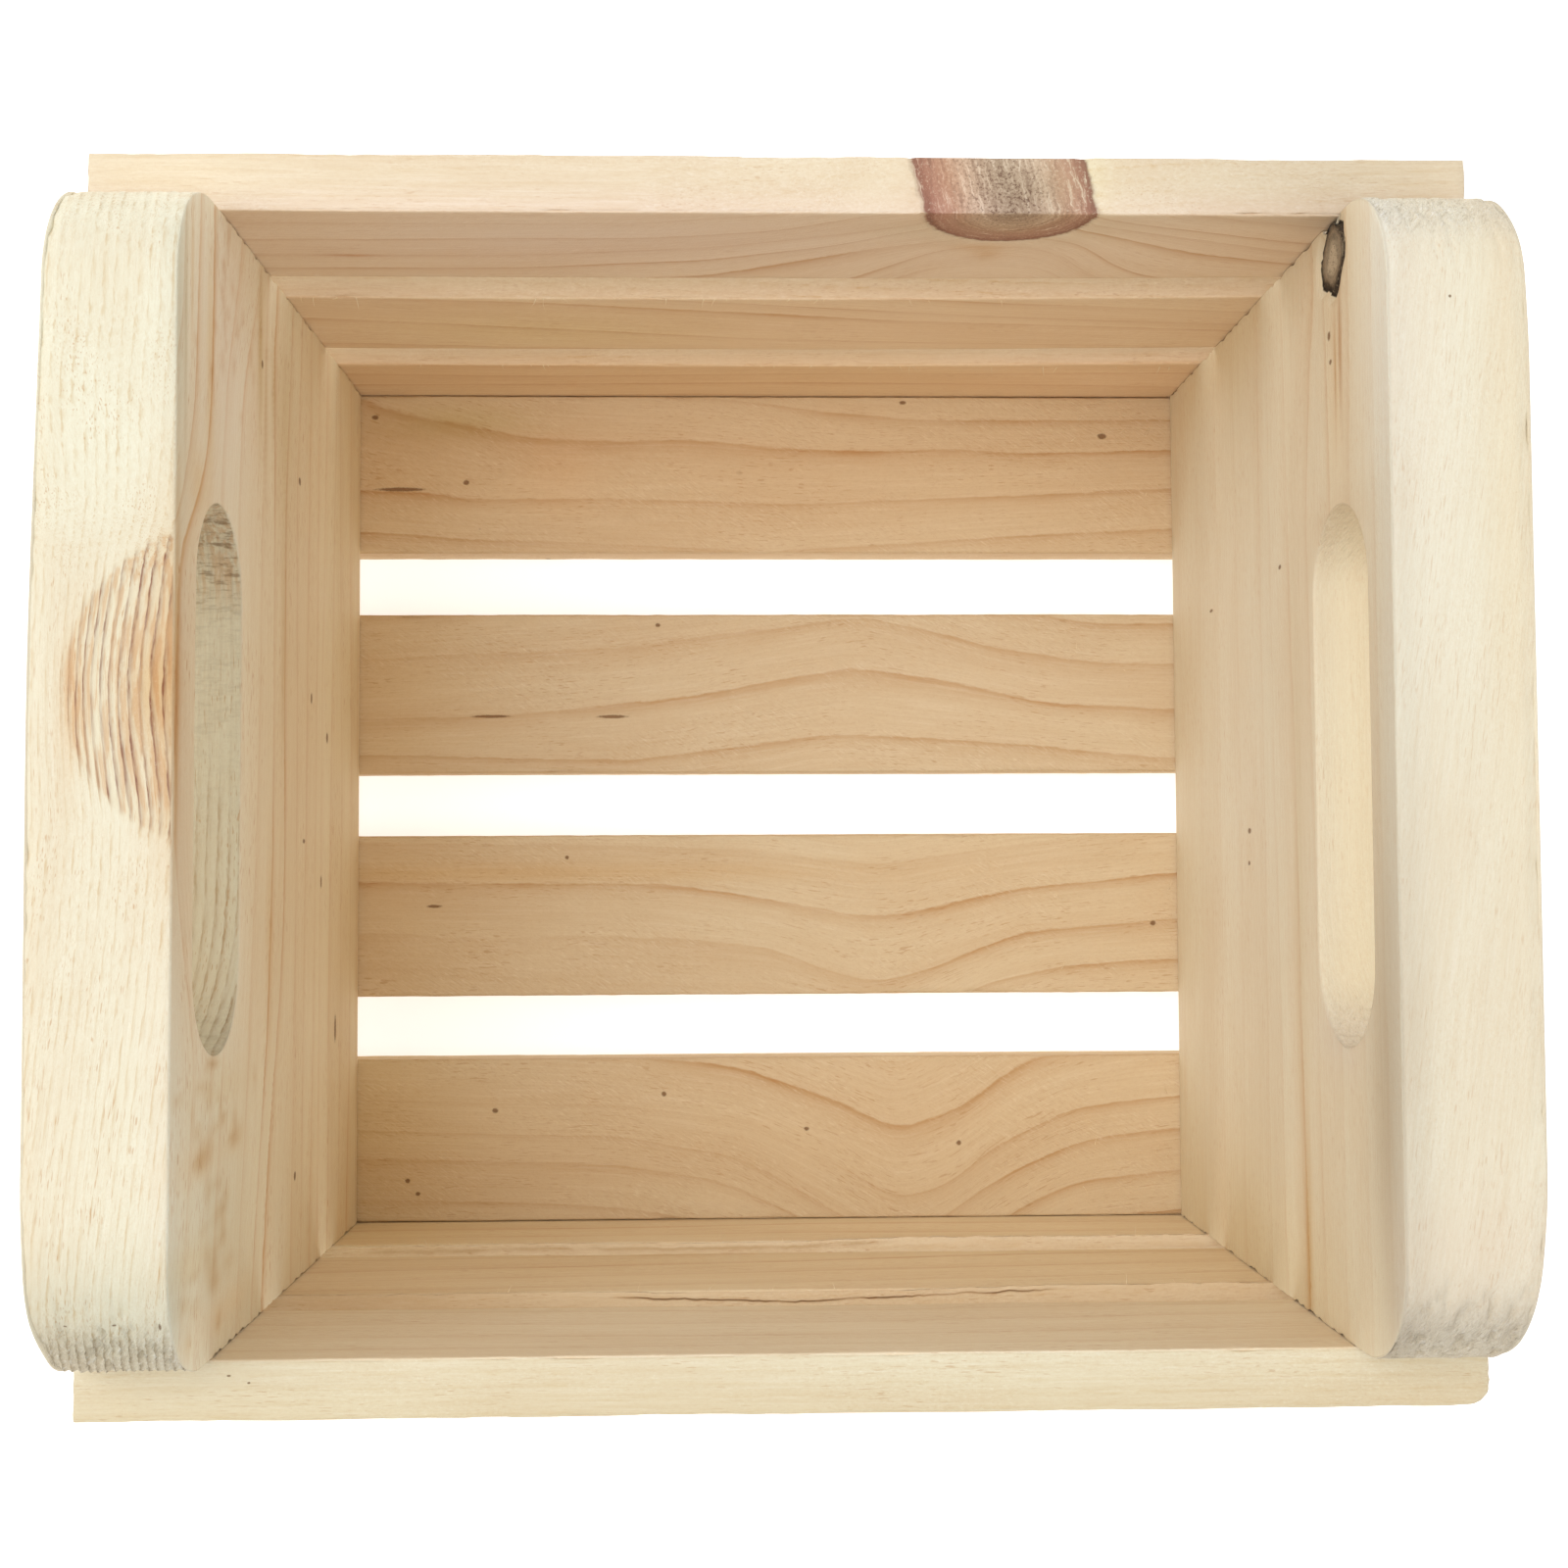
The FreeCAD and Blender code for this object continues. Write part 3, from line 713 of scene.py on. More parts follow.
def panel_grid(low, high, side, knocked):
    """Points, normals, depths from the inner face and quads of an end panel with eased edges."""
    thickness = high[0] - low[0]
    inner = high[0] if side < 0 else low[0]
    outline, out_normal = panel_outline(high[1], low[2], high[2])
    middle_y = np.clip(outline[:, 0], -SLOT_HALF_STRAIGHT, SLOT_HALF_STRAIGHT)
    spine = np.stack([middle_y, np.full(AROUND, SLOT_CENTRE)], -1)
    ray = unit(outline - spine)
    slot = spine + SLOT_RADIUS * ray
    sideways = smooth(0.3, 0.8, np.abs(out_normal[:, 0]))
    rounding = smooth(high[2] - CORNER - 3.0, high[2] - CORNER + 5.0, outline[:, 1])
    inner_ease = PANEL_EASE - (PANEL_EASE - COVERED_EASE) * sideways * (1.0 - rounding)
    outer_ease = PANEL_EASE + 0.7 * np.where(outline[:, 0] < 0.0, *knocked) * sideways * rounding

    # The rows go from the slot over the inner face, round the outer edge, and back through the slot.
    rows = []

    def add_row(flat, depth, flat_normal, deep_normal):
        rows.append(np.column_stack([np.broadcast_to(depth, AROUND), flat, np.full(AROUND, deep_normal),
                                     flat_normal]))

    def face_row(share, depth, sign, ease):
        start = slot + SLOT_EASE * ray
        finish = outline - ease[:, None] * out_normal
        add_row(start + share * (finish - start), depth, np.zeros((AROUND, 2)), sign)

    def arris_row(edge, outwards, ease, angle, outer):
        flat = edge - outwards * np.reshape(ease, (-1, 1)) * (1.0 - np.sin(angle))
        down = ease * (1.0 - np.cos(angle))
        add_row(flat, thickness - down if outer else down, outwards * np.sin(angle),
                np.cos(angle) if outer else -np.cos(angle))

    few = np.radians([30.0, 60.0, 90.0])
    many = np.radians(np.linspace(0.0, 90.0, 8))
    for share in np.linspace(0.0, 1.0, PANEL_ROWS["inner"]):
        face_row(share, 0.0, -1.0, inner_ease)
    for angle in few:
        arris_row(outline, out_normal, inner_ease, angle, False)
    for share in np.linspace(0.0, 1.0, PANEL_ROWS["rim"])[1:-1]:
        add_row(outline, inner_ease + share * (thickness - outer_ease - inner_ease), out_normal, 0.0)
    for angle in many[:0:-1]:
        arris_row(outline, out_normal, outer_ease, angle, True)
    for share in np.linspace(1.0, 0.0, PANEL_ROWS["outer"]):
        face_row(share, thickness, 1.0, outer_ease)
    for angle in few:
        arris_row(slot, -ray, SLOT_EASE, angle, True)
    for depth in np.linspace(thickness - SLOT_EASE, SLOT_EASE, PANEL_ROWS["slot"])[1:-1]:
        add_row(slot, depth, -ray, 0.0)
    for angle in few[::-1]:
        arris_row(slot, -ray, SLOT_EASE, angle, False)

    grid = np.concatenate(rows)
    depth_in = grid[:, 0]
    points = grid[:, :3] * (side, 1.0, 1.0) + (inner, 0.0, 0.0)
    normal = grid[:, 3:] * (side, 1.0, 1.0)
    i, j = (k.ravel() for k in np.meshgrid(np.arange(len(rows)), np.arange(AROUND), indexing="ij"))
    here = i * AROUND
    above = (i + 1) % len(rows) * AROUND
    beside = (j + 1) % AROUND
    quads = turned_out(points, np.stack([here + j, here + beside, above + beside, above + j], -1))
    return points, normal, depth_in, quads


def make_panel(node, side, swirl, layer, material, seed, front_end_grain_and_shade, back_end, rim_lines, knocked, knots=(),
               slot_tint=PLAIN, slot_lines=0.0, torn=0.0, ridged=0.0, taper=0.0, sanded=(1.0, 1.0)):
    """An end panel with its hand slot. side is -1 for the left panel, +1 for the right. Depth runs outwards.

    The front end tint darkens the end grain at the front: partly the end grain's own greyer colour and partly
    painted shade, as the rounded front corners face away from the key light. The back end tint lightens the
    end grain at the back, and sanded is how rough the end grain is. slot_lines and rim_lines are how strongly
    the rings show in the slot and on the rim. knocked is how far the front and back corners are rubbed back
    at the outer face, torn is how rough the back of the slot is, ridged is how far the front end grain stands
    in ridges, and taper is how much thinner the back end is. Each knot is (centre, radius, depth of the crack
    round it).
    """
    low, high = box_of(node)
    thickness = high[0] - low[0]
    points, normal, depth_in, quads = panel_grid(low, high, side, knocked)

    def rough(shift, *size):
        return noise(points, size, seed + shift)

    y = points[:, 1].copy()
    z = points[:, 2].copy()
    front = y < 0.0
    endwise = np.abs(normal[:, 1])
    end = smooth(0.25, 0.75, endwise)
    on_wall = smooth(0.6, 0.95, np.hypot(normal[:, 1], normal[:, 2]))
    from_spine = np.hypot(y - np.clip(y, -SLOT_HALF_STRAIGHT, SLOT_HALF_STRAIGHT), z - SLOT_CENTRE)
    in_slot = on_wall * (from_spine < SLOT_RADIUS + 1.0)
    on_rim = on_wall * (1.0 - in_slot)
    number, strength = rings_between(RINGS[node], y, z)
    moved, stain = swirl(y, depth_in, on_rim * smooth(100.0, 120.0, z))
    moved = moved - in_slot * 0.006 * np.maximum(-15.0 - y, 0.0) ** 2
    ring = number + moved / layer
    grain = np.stack([y, number * RING_GAP, side * moved], -1)
    ridges = ridged * front * on_rim * smooth(0.35, 0.75, endwise)
    lined = slot_lines * (1.0 - 0.85 * smooth(-14.0, 8.0, y))
    strength = strength * (1.0 - on_wall) + in_slot * lined + on_rim * rim_lines + 0.8 * ridges + 0.65 * stain
    phase = ring - np.floor(ring)
    soft_wood = 1.0 - phase ** 2 * (1.0 - smooth(0.9, 1.0, phase))

    depth = 0.12 * rough(2, 16.0, 38.0, 38.0) + ridges * 0.40 * soft_wood
    pitted = on_rim * smooth(0.03, 0.45, endwise) * np.where(front, sanded[0], 0.4 * sanded[1])
    depth += pitted * 0.75 * smooth(0.52, 0.88, rough(3, 1.1, 1.5, 1.5))
    depth += on_rim * (0.10 + 0.15 * end) * rough(4, 0.9, 1.6, 1.6)
    depth += in_slot * end * (0.12 * soft_wood * slot_lines + 0.24 * rough(5, 3.0, 0.9, 0.9) ** 2)
    depth += in_slot * (1.0 - end) * 0.06 * rough(6, 5.0, 1.2, 1.2)
    outer_arris = smooth(thickness - 2.5, thickness, depth_in) * on_wall
    depth += outer_arris * 0.50 * rough(7, 60.0, 9.0, 9.0)
    depth += outer_arris * (0.5 + 0.9 * end) * 0.55 * smooth(0.5, 0.9, rough(8, 60.0, 2.2, 2.2))
    depth += (1.0 - smooth(0.0, 1.2, depth_in)) * on_rim * 0.30 * rough(9, 60.0, 2.4, 2.4) ** 2

    # Where the walls cover it the panel keeps close to its box, and the seam has small chips.
    at_wall = (np.abs(y) > high[1] - 0.3) * (z < WALL_TOP)
    depth *= 1.0 - 0.85 * at_wall * (1.0 - smooth(0.8, 3.0, depth_in))
    chipped = (1.0 - smooth(0.2, 1.4, depth_in)) * at_wall
    points[:, 1] -= np.sign(y) * chipped * 0.42 * smooth(0.50, 0.75, rough(14, 60.0, 60.0, 1.2))
    # The seam along the walls is lightened: a pale jagged seam, and painted light over the shade in its gap.
    seam = (1.0 - smooth(0.0, 0.6, depth_in)) * on_rim * end * (z < high[2] - CORNER)

    tint = tinted(points, COLOUR_AND_PAINTED_LIGHT_PATCHES[node])
    # The front end grain is darkened by painted shade as well as by its own greyer colour.
    tint = shaded(tint, on_rim * end, np.where(front[:, None], front_end_grain_and_shade, back_end))
    tint = shaded(tint, in_slot, slot_tint)
    tint = shaded(tint, stain, (0.98, 0.96, 0.91))
    tint = shaded(tint, seam, (1.25, 1.28, 1.35))
    ripped = torn * in_slot * (0.45 * smooth(-14.0, 14.0, y) + 0.55 * smooth(22.0, 32.0, y))
    depth += ripped * 0.45 * smooth(0.4, 0.8, rough(12, 2.2, 0.8, 6.0))
    end = np.maximum(end * (1.0 - 0.6 * in_slot) * np.where(front, *sanded), ripped)
    stain = np.maximum(stain, np.maximum(ripped, 0.4 * in_slot * (lined > 0.5)))
    reach = np.full(len(points), NO_KNOT)
    for centre, radius, crack_depth in knots:
        offset = points - np.array(centre)
        distance = np.hypot(offset[:, 1], offset[:, 2]) / radius
        distance *= 1.0 + 0.34 * (rough(10, 50.0, 2.6, 2.6) - 0.5)
        distance += 4.0 * smooth(9.0, 14.0, depth_in)
        reach = np.minimum(reach, distance)
        depth += crack_depth * bump(distance, 1.0, 0.10) + 0.25 * (1.0 - smooth(0.75, 1.0, distance))
    points = points - normal * depth[:, None]

    # The corners are rubbed back at the outer face, and the board may be a little thinner at its back end.
    worn = np.where(front, *knocked) * smooth(54.0, 80.0, np.abs(y)) * smooth(113.0, 129.0, z)
    worn = worn * (0.85 + 0.3 * rough(13, 50.0, 7.0, 7.0)) + taper * smooth(5.0, 90.0, y)
    points[:, 0] -= side * worn * depth_in / thickness

    look = np.stack([np.clip(strength, 0.0, 2.0), reach, end], -1)
    build_piece("pine_" + node, node, "pine_board", material, points, quads, edge=on_wall, grain=grain,
                ring=ring, look=look, tint=np.column_stack([tint, stain]))


def left_swirl(y, depth_in, on_top):
    """Rings along the left panel's top: bowed and stained over a hidden branch, slanting in front of it."""
    bow = bump(y, 11.0, 17.0) * bump(depth_in, 8.0, 9.5)
    closer = 0.32 * depth_in * (1.0 - smooth(20.0, 55.0, y))
    moved = depth_in + on_top * (closer - 3.6 * bow - 0.19 * np.maximum(-6.0 - y, 0.0) ** 0.95)
    limit = 15.5 * np.clip(1.0 - np.abs((y - 11.0) / 20.5) ** 2.2, 0.0, 1.0) ** 0.7
    return moved, smooth(-0.2, 2.2, limit - depth_in) * on_top


def right_swirl(y, depth_in, on_top):
    """Rings along the right panel's top slant outwards towards the back."""
    return depth_in - on_top * 0.14 * y, np.zeros(len(y))


# ---- nails

def make_nails(node, axis, outward, material):
    """The wire nails of one slat, turned about the places of the CAD node's own nails. Returns the places."""
    low, high = box_of(node)
    flat = [k for k in range(3) if k != axis]
    face = high[axis] if outward > 0 else low[axis]
    length = high[axis] - low[axis]
    profile = np.array([                    # radius, and depth below the top of the head
        (0.12, 0.0), (0.75, 0.0), (1.20, 0.03), (1.50, 0.10), (1.66, 0.22), (1.70, 0.36), (1.68, 0.58),
        (1.58, 0.72), (1.20, 0.82), (0.90, 0.95), (0.75, 1.25), (0.75, 3.0), (0.70, 3.2), (0.75, 3.4),
        (0.70, 3.6), (0.75, 3.8), (0.75, length - 3.0), (0.45, length - 1.2), (0.02, length),
    ])
    radius, down = profile[:, :1], profile[:, 1:]
    angle = np.linspace(0.0, 2.0 * np.pi, 20, endpoint=False)[None, :]
    heads = []
    points = []
    for column in (low[flat[0]] + HEAD_RADIUS, high[flat[0]] - HEAD_RADIUS):
        for level in (low[flat[1]] + HEAD_RADIUS, high[flat[1]] - HEAD_RADIUS):
            heads.append((column, level))
            nail = np.zeros((len(profile), angle.size, 3))
            nail[..., axis] = face - outward * down
            nail[..., flat[0]] = column + radius * np.cos(angle)
            nail[..., flat[1]] = level + radius * np.sin(angle)
            points.append(nail.reshape(-1, 3))
    one = turned_out(points[0], tube_quads(len(profile), angle.size))
    quads = np.concatenate([one + len(points[0]) * k for k in range(len(points))])
    points = np.concatenate(points)
    build_piece("steel_" + node, node, "nail_steel", material, points, quads, grain=points)
    return heads


# ---- the boards' figure

# Growth rings of each board, from one side to the other. "along" is x on the slats and y on the end panels.
RINGS = {
    "floor_slat_1": [
        [(-100, -68.5, .5), (-80, -68.8, .5), (-30, -70.5, .6), (-10, -74, .6), (5, -80.5, .6), (25, -92, .3),
         (40, -86, .4), (48, -80, .7), (60, -74.5, .9), (82, -72, .9), (100, -71.5, .9)],
        [(-100, -63, .4), (-80, -63.5, .4), (-30, -65, .5), (-5, -69.5, .6), (12, -80, .6), (25, -87, .3),
         (43, -75, 1), (48, -72, 1), (63, -66, 1), (82, -64, 1), (100, -63.5, 1)],
        [(-100, -57, .2), (-80, -57.5, .2), (-30, -59, .2), (-5, -62, .2), (12, -70, .3), (25, -78, .4),
         (35, -75, .7), (45, -67, .9), (60, -60, .9), (82, -57.7, .9), (100, -57, .9)],
        [(-100, -46, .2), (-30, -48, .2), (-5, -52, 1.2), (12, -58, 1.3), (25, -64, 1.3), (38, -59, 1.3),
         (48, -51.5, 1.2), (52, -50, 1), (70, -46, 1), (100, -44, 1)],
        [(-100, -30, .1), (0, -42, .1), (25, -52, .1), (50, -38, .1), (100, -30, .1)],
    ],
    "floor_slat_2": [
        [(-100, -42, .3), (20, -46, .3), (34, -40, .6), (42, -35.5, .8), (57, -32, .9), (80, -31, .9),
         (100, -31, .9)],
        [(-80, -25, .3), (-30, -26, .3), (0, -28.5, .4), (12, -33, .5), (20, -35, .8), (30, -33, .9),
         (42, -28.5, 1), (50, -25.5, 1), (80, -23, 1)],
        [(-80, -15, 1.1), (-20, -15.8, 1.1), (0, -18.8, 1.1), (17, -22, 1.1), (25, -22, 1.1), (38, -19, 1.1),
         (50, -16.5, 1), (80, -13.7, 1)],
        [(-80, -7, .3), (0, -9, .2), (20, -12, .3), (50, -8, .3), (80, -5, .2)],
    ],
    "floor_slat_3": [
        [(-80, 10, .8), (-27, 9, .8), (0, 12, .8), (10, 13.8, .8), (20, 13.8, .8), (50, 11.8, .8),
         (80, 9, .8)],
        [(-80, 17, .3), (-60, 17.6, .6), (-35, 19.5, .8), (-15, 22, .9), (0, 24.8, 1), (18, 27.2, 1),
         (35, 24.5, 1), (55, 20.3, 1), (80, 19, .9)],
        [(-80, 29, .2), (-27, 31.5, .4), (0, 35, .5), (18, 38, .4), (33, 34.5, .8), (45, 31, .9),
         (65, 28, .9), (80, 28, .9)],
    ],
    "floor_slat_4": [
        [(-80, 54.5, 1), (-60, 53, .9), (-45, 52.5, .5), (0, 50.5, .3), (20, 51.5, .7), (50, 53.5, .8),
         (80, 55.3, .8)],
        [(-80, 62.5, 1), (-67, 62.3, 1), (-60, 61, .8), (-42, 61.2, .7), (-10, 60.8, .6), (5, 60, .6),
         (40, 61.3, .8), (80, 63.3, .9)],
        [(-85, 84, .8), (-76, 80, .9), (-60, 76, .9), (-48, 73, .8), (-17, 73, .7), (0, 71.5, .9),
         (20, 70.5, 1.1), (35, 71, 1.1), (50, 70.3, 1.1), (80, 71, 1.1)],
        [(-80, 90, .3), (-40, 84, .3), (0, 80, .4), (10, 78.5, .8), (30, 77, .9), (80, 76.8, .9)],
    ],
    "back_bottom_slat": [
        [(-80, 8, .5), (-20, 10, .5), (80, 9, .5)],
        [(-80, 17, .6), (-40, 18, .8), (0, 19.5, .9), (25, 19.5, .6), (80, 17, .5)],
        [(-80, 25, .5), (-40, 24, .7), (10, 26.5, .4), (80, 27.5, .6)],
    ],
    "back_middle_slat": [
        [(-80, 47, .5), (-20, 43, .5), (80, 40, .3)],
        [(-80, 63, .5), (-60, 60, .7), (-25, 54, .7), (0, 50, .4), (80, 46, .3)],
        [(-80, 76, .3), (-40, 72.5, .6), (0, 66, 1.1), (20, 62.5, .8), (50, 60, .5), (80, 57, .7)],
        [(-80, 84, .3), (-10, 72.5, .5), (5, 70, .8), (33, 65.5, .8), (60, 62.5, .5), (80, 60.5, .5)],
    ],
    "back_top_slat": [
        [(-80, 70, .3), (0, 76, .4), (12, 86, 1.2), (24, 101, 1.2), (34, 103.5, .9), (42, 101, .9),
         (50, 88, .4), (60, 80, .3), (80, 78, .3)],
        [(-80, 82, .4), (-12, 87, .9), (0, 93.5, 1.1), (15, 102, .9), (33, 107, .5), (46, 105, 1.2),
         (50, 97, 1.2), (58, 88, 1.1), (80, 84, .4)],
        [(-80, 90.5, .8), (-40, 91, .9), (-12, 95, 1), (8, 102, .9), (20, 110, .5), (33, 114, .3),
         (48, 109, 1.2), (65, 99, 1), (80, 94.5, .9)],
        [(-80, 97, .5), (-40, 97.5, .3), (-10, 101.5, .4), (10, 108, .4), (33, 118, .3), (52, 110, .6),
         (80, 100, .4)],
        [(-80, 104.5, .7), (-20, 105.5, .5), (0, 109, .4), (12, 116, .4), (33, 122, .3), (52, 113, .9),
         (80, 104, .9)],
        [(-80, 112, .3), (-20, 112.5, .3), (5, 118, .3), (33, 130, .3), (60, 117, .4), (80, 112, .4)],
    ],
    "front_bottom_slat": [
        [(-80, 9, .5), (-15, 10, .5), (80, 8, .5)],
        [(-80, 18, .6), (-15, 16.5, .9), (10, 14.5, .9), (80, 16, .4)],
        [(-80, 26, .4), (0, 24, .5), (80, 25, .4)],
    ],
    "front_middle_slat": [
        [(-80, 47, .3), (0, 44, .4), (80, 41, .3)],
        [(-80, 57, .4), (0, 51.5, 1), (40, 47, 1.1), (65, 46, 1.1), (80, 45, .8)],
        [(-80, 65, .3), (0, 60, .4), (80, 55, .5)],
        [(-80, 72, .3), (0, 69, .4), (80, 64, .4)],
    ],
    "front_top_slat": [
        [(-80, 88, .3), (0, 90, .4), (80, 88, .3)],
        [(-80, 96, .4), (0, 98, .3), (80, 95, .4)],
        [(-80, 104, .3), (0, 106, .4), (80, 104, .3)],
        [(-80, 112, .4), (0, 112, .3), (80, 111, .4)],
    ],
    "left_end_panel": [
        [(-80, 11, .5), (0, 12, .4), (80, 12, .5)],
        [(-80, 20, .7), (-50, 18, .5), (0, 17.5, .6), (80, 20, .4)],
        [(-80, 28, .4), (0, 27, .3), (80, 31, .4)],
        [(-80, 38, .5), (0, 37.5, .6), (30, 35.5, .5), (80, 33, .4)],
        [(-80, 47, .4), (0, 46, .3), (80, 42, .5)],
        [(-80, 53, .5), (-30, 50, .5), (40, 49, .4), (80, 49, .4)],
        [(-80, 60, .3), (0, 58, .5), (80, 56, .4)],
        [(-80, 67, .4), (0, 65, .5), (50, 67, .5), (80, 63, .5)],
        [(-80, 88, 1.1), (-50, 82, 1.2), (-40, 79, 1.2), (-30, 76, 1.2), (-20, 74.5, 1.2), (-5, 74, 1.2),
         (15, 75, 1.2), (45, 75, 1), (60, 73, .7), (80, 70, .6)],
        [(-80, 94, .4), (-60, 90, .7), (-37, 84.8, 1.3), (-10, 82.5, 1.2), (20, 82, .6), (50, 82.5, 1),
         (70, 84, 1.2), (80, 82, .8)],
        [(-80, 104, .3), (-50, 98, .4), (0, 92, .3), (40, 91, .4), (80, 88, .4)],
        [(-80, 118, .3), (-40, 112, .4), (0, 104, .3), (39, 106, .4), (60, 103, .6), (80, 92, .6)],
        [(-80, 126, .3), (-45, 118, .3), (0, 116, .3), (40, 116, .4), (60, 112, .5), (80, 104, .5)],
        [(-80, 134, .3), (-40, 127, .3), (-10, 137.4, .9), (12, 138, 1), (30, 137, 1.2), (38, 128, 1.1),
         (45, 123, 1.3), (55, 121, 1.3), (80, 120.5, 1.1)],
        [(-80, 144, .3), (0, 146, .3), (30, 142, .5), (35, 136, 1), (50, 129.5, 1), (78, 127.5, .9),
         (90, 127, .5)],
        [(-80, 152, .3), (0, 154, .3), (40, 146, .4), (60, 136, .6), (80, 134, .5)],
    ],
    "right_end_panel": [
        [(-80, 14, .15), (0, 16, .1), (80, 14, .15)],
        [(-80, 30, .15), (0, 32, .1), (80, 31, .1)],
        [(-80, 45, .15), (0, 46, .1), (80, 45, .1)],
        [(-80, 59, .3), (0, 59, .15), (80, 58, .15)],
        [(-80, 75, .3), (0, 74.5, .25), (80, 74, .2)],
        [(-80, 83, .3), (0, 80, .2), (80, 79, .15)],
        [(-80, 95.5, 1.1), (-60, 94.5, .9), (0, 92, .5), (45, 90, .4), (80, 88, .2)],
        [(-80, 104, .3), (-40, 102, .2), (40, 100, .3), (62, 103, .6), (72, 106, .7), (78, 106, .5),
         (90, 104, .4)],
        [(-80, 114, .2), (0, 112, .2), (40, 112, .4), (60, 111, .5), (76, 110, .4), (90, 110, .4)],
        [(-80, 125, .2), (0, 122, .3), (40, 121, .5), (62, 122, .6), (76, 122, .5), (90, 120, .5)],
        [(-80, 134, .2), (0, 132, .2), (80, 132, .3)],
        [(-80, 144, .2), (0, 142, .2), (80, 142, .2)],
    ],
}
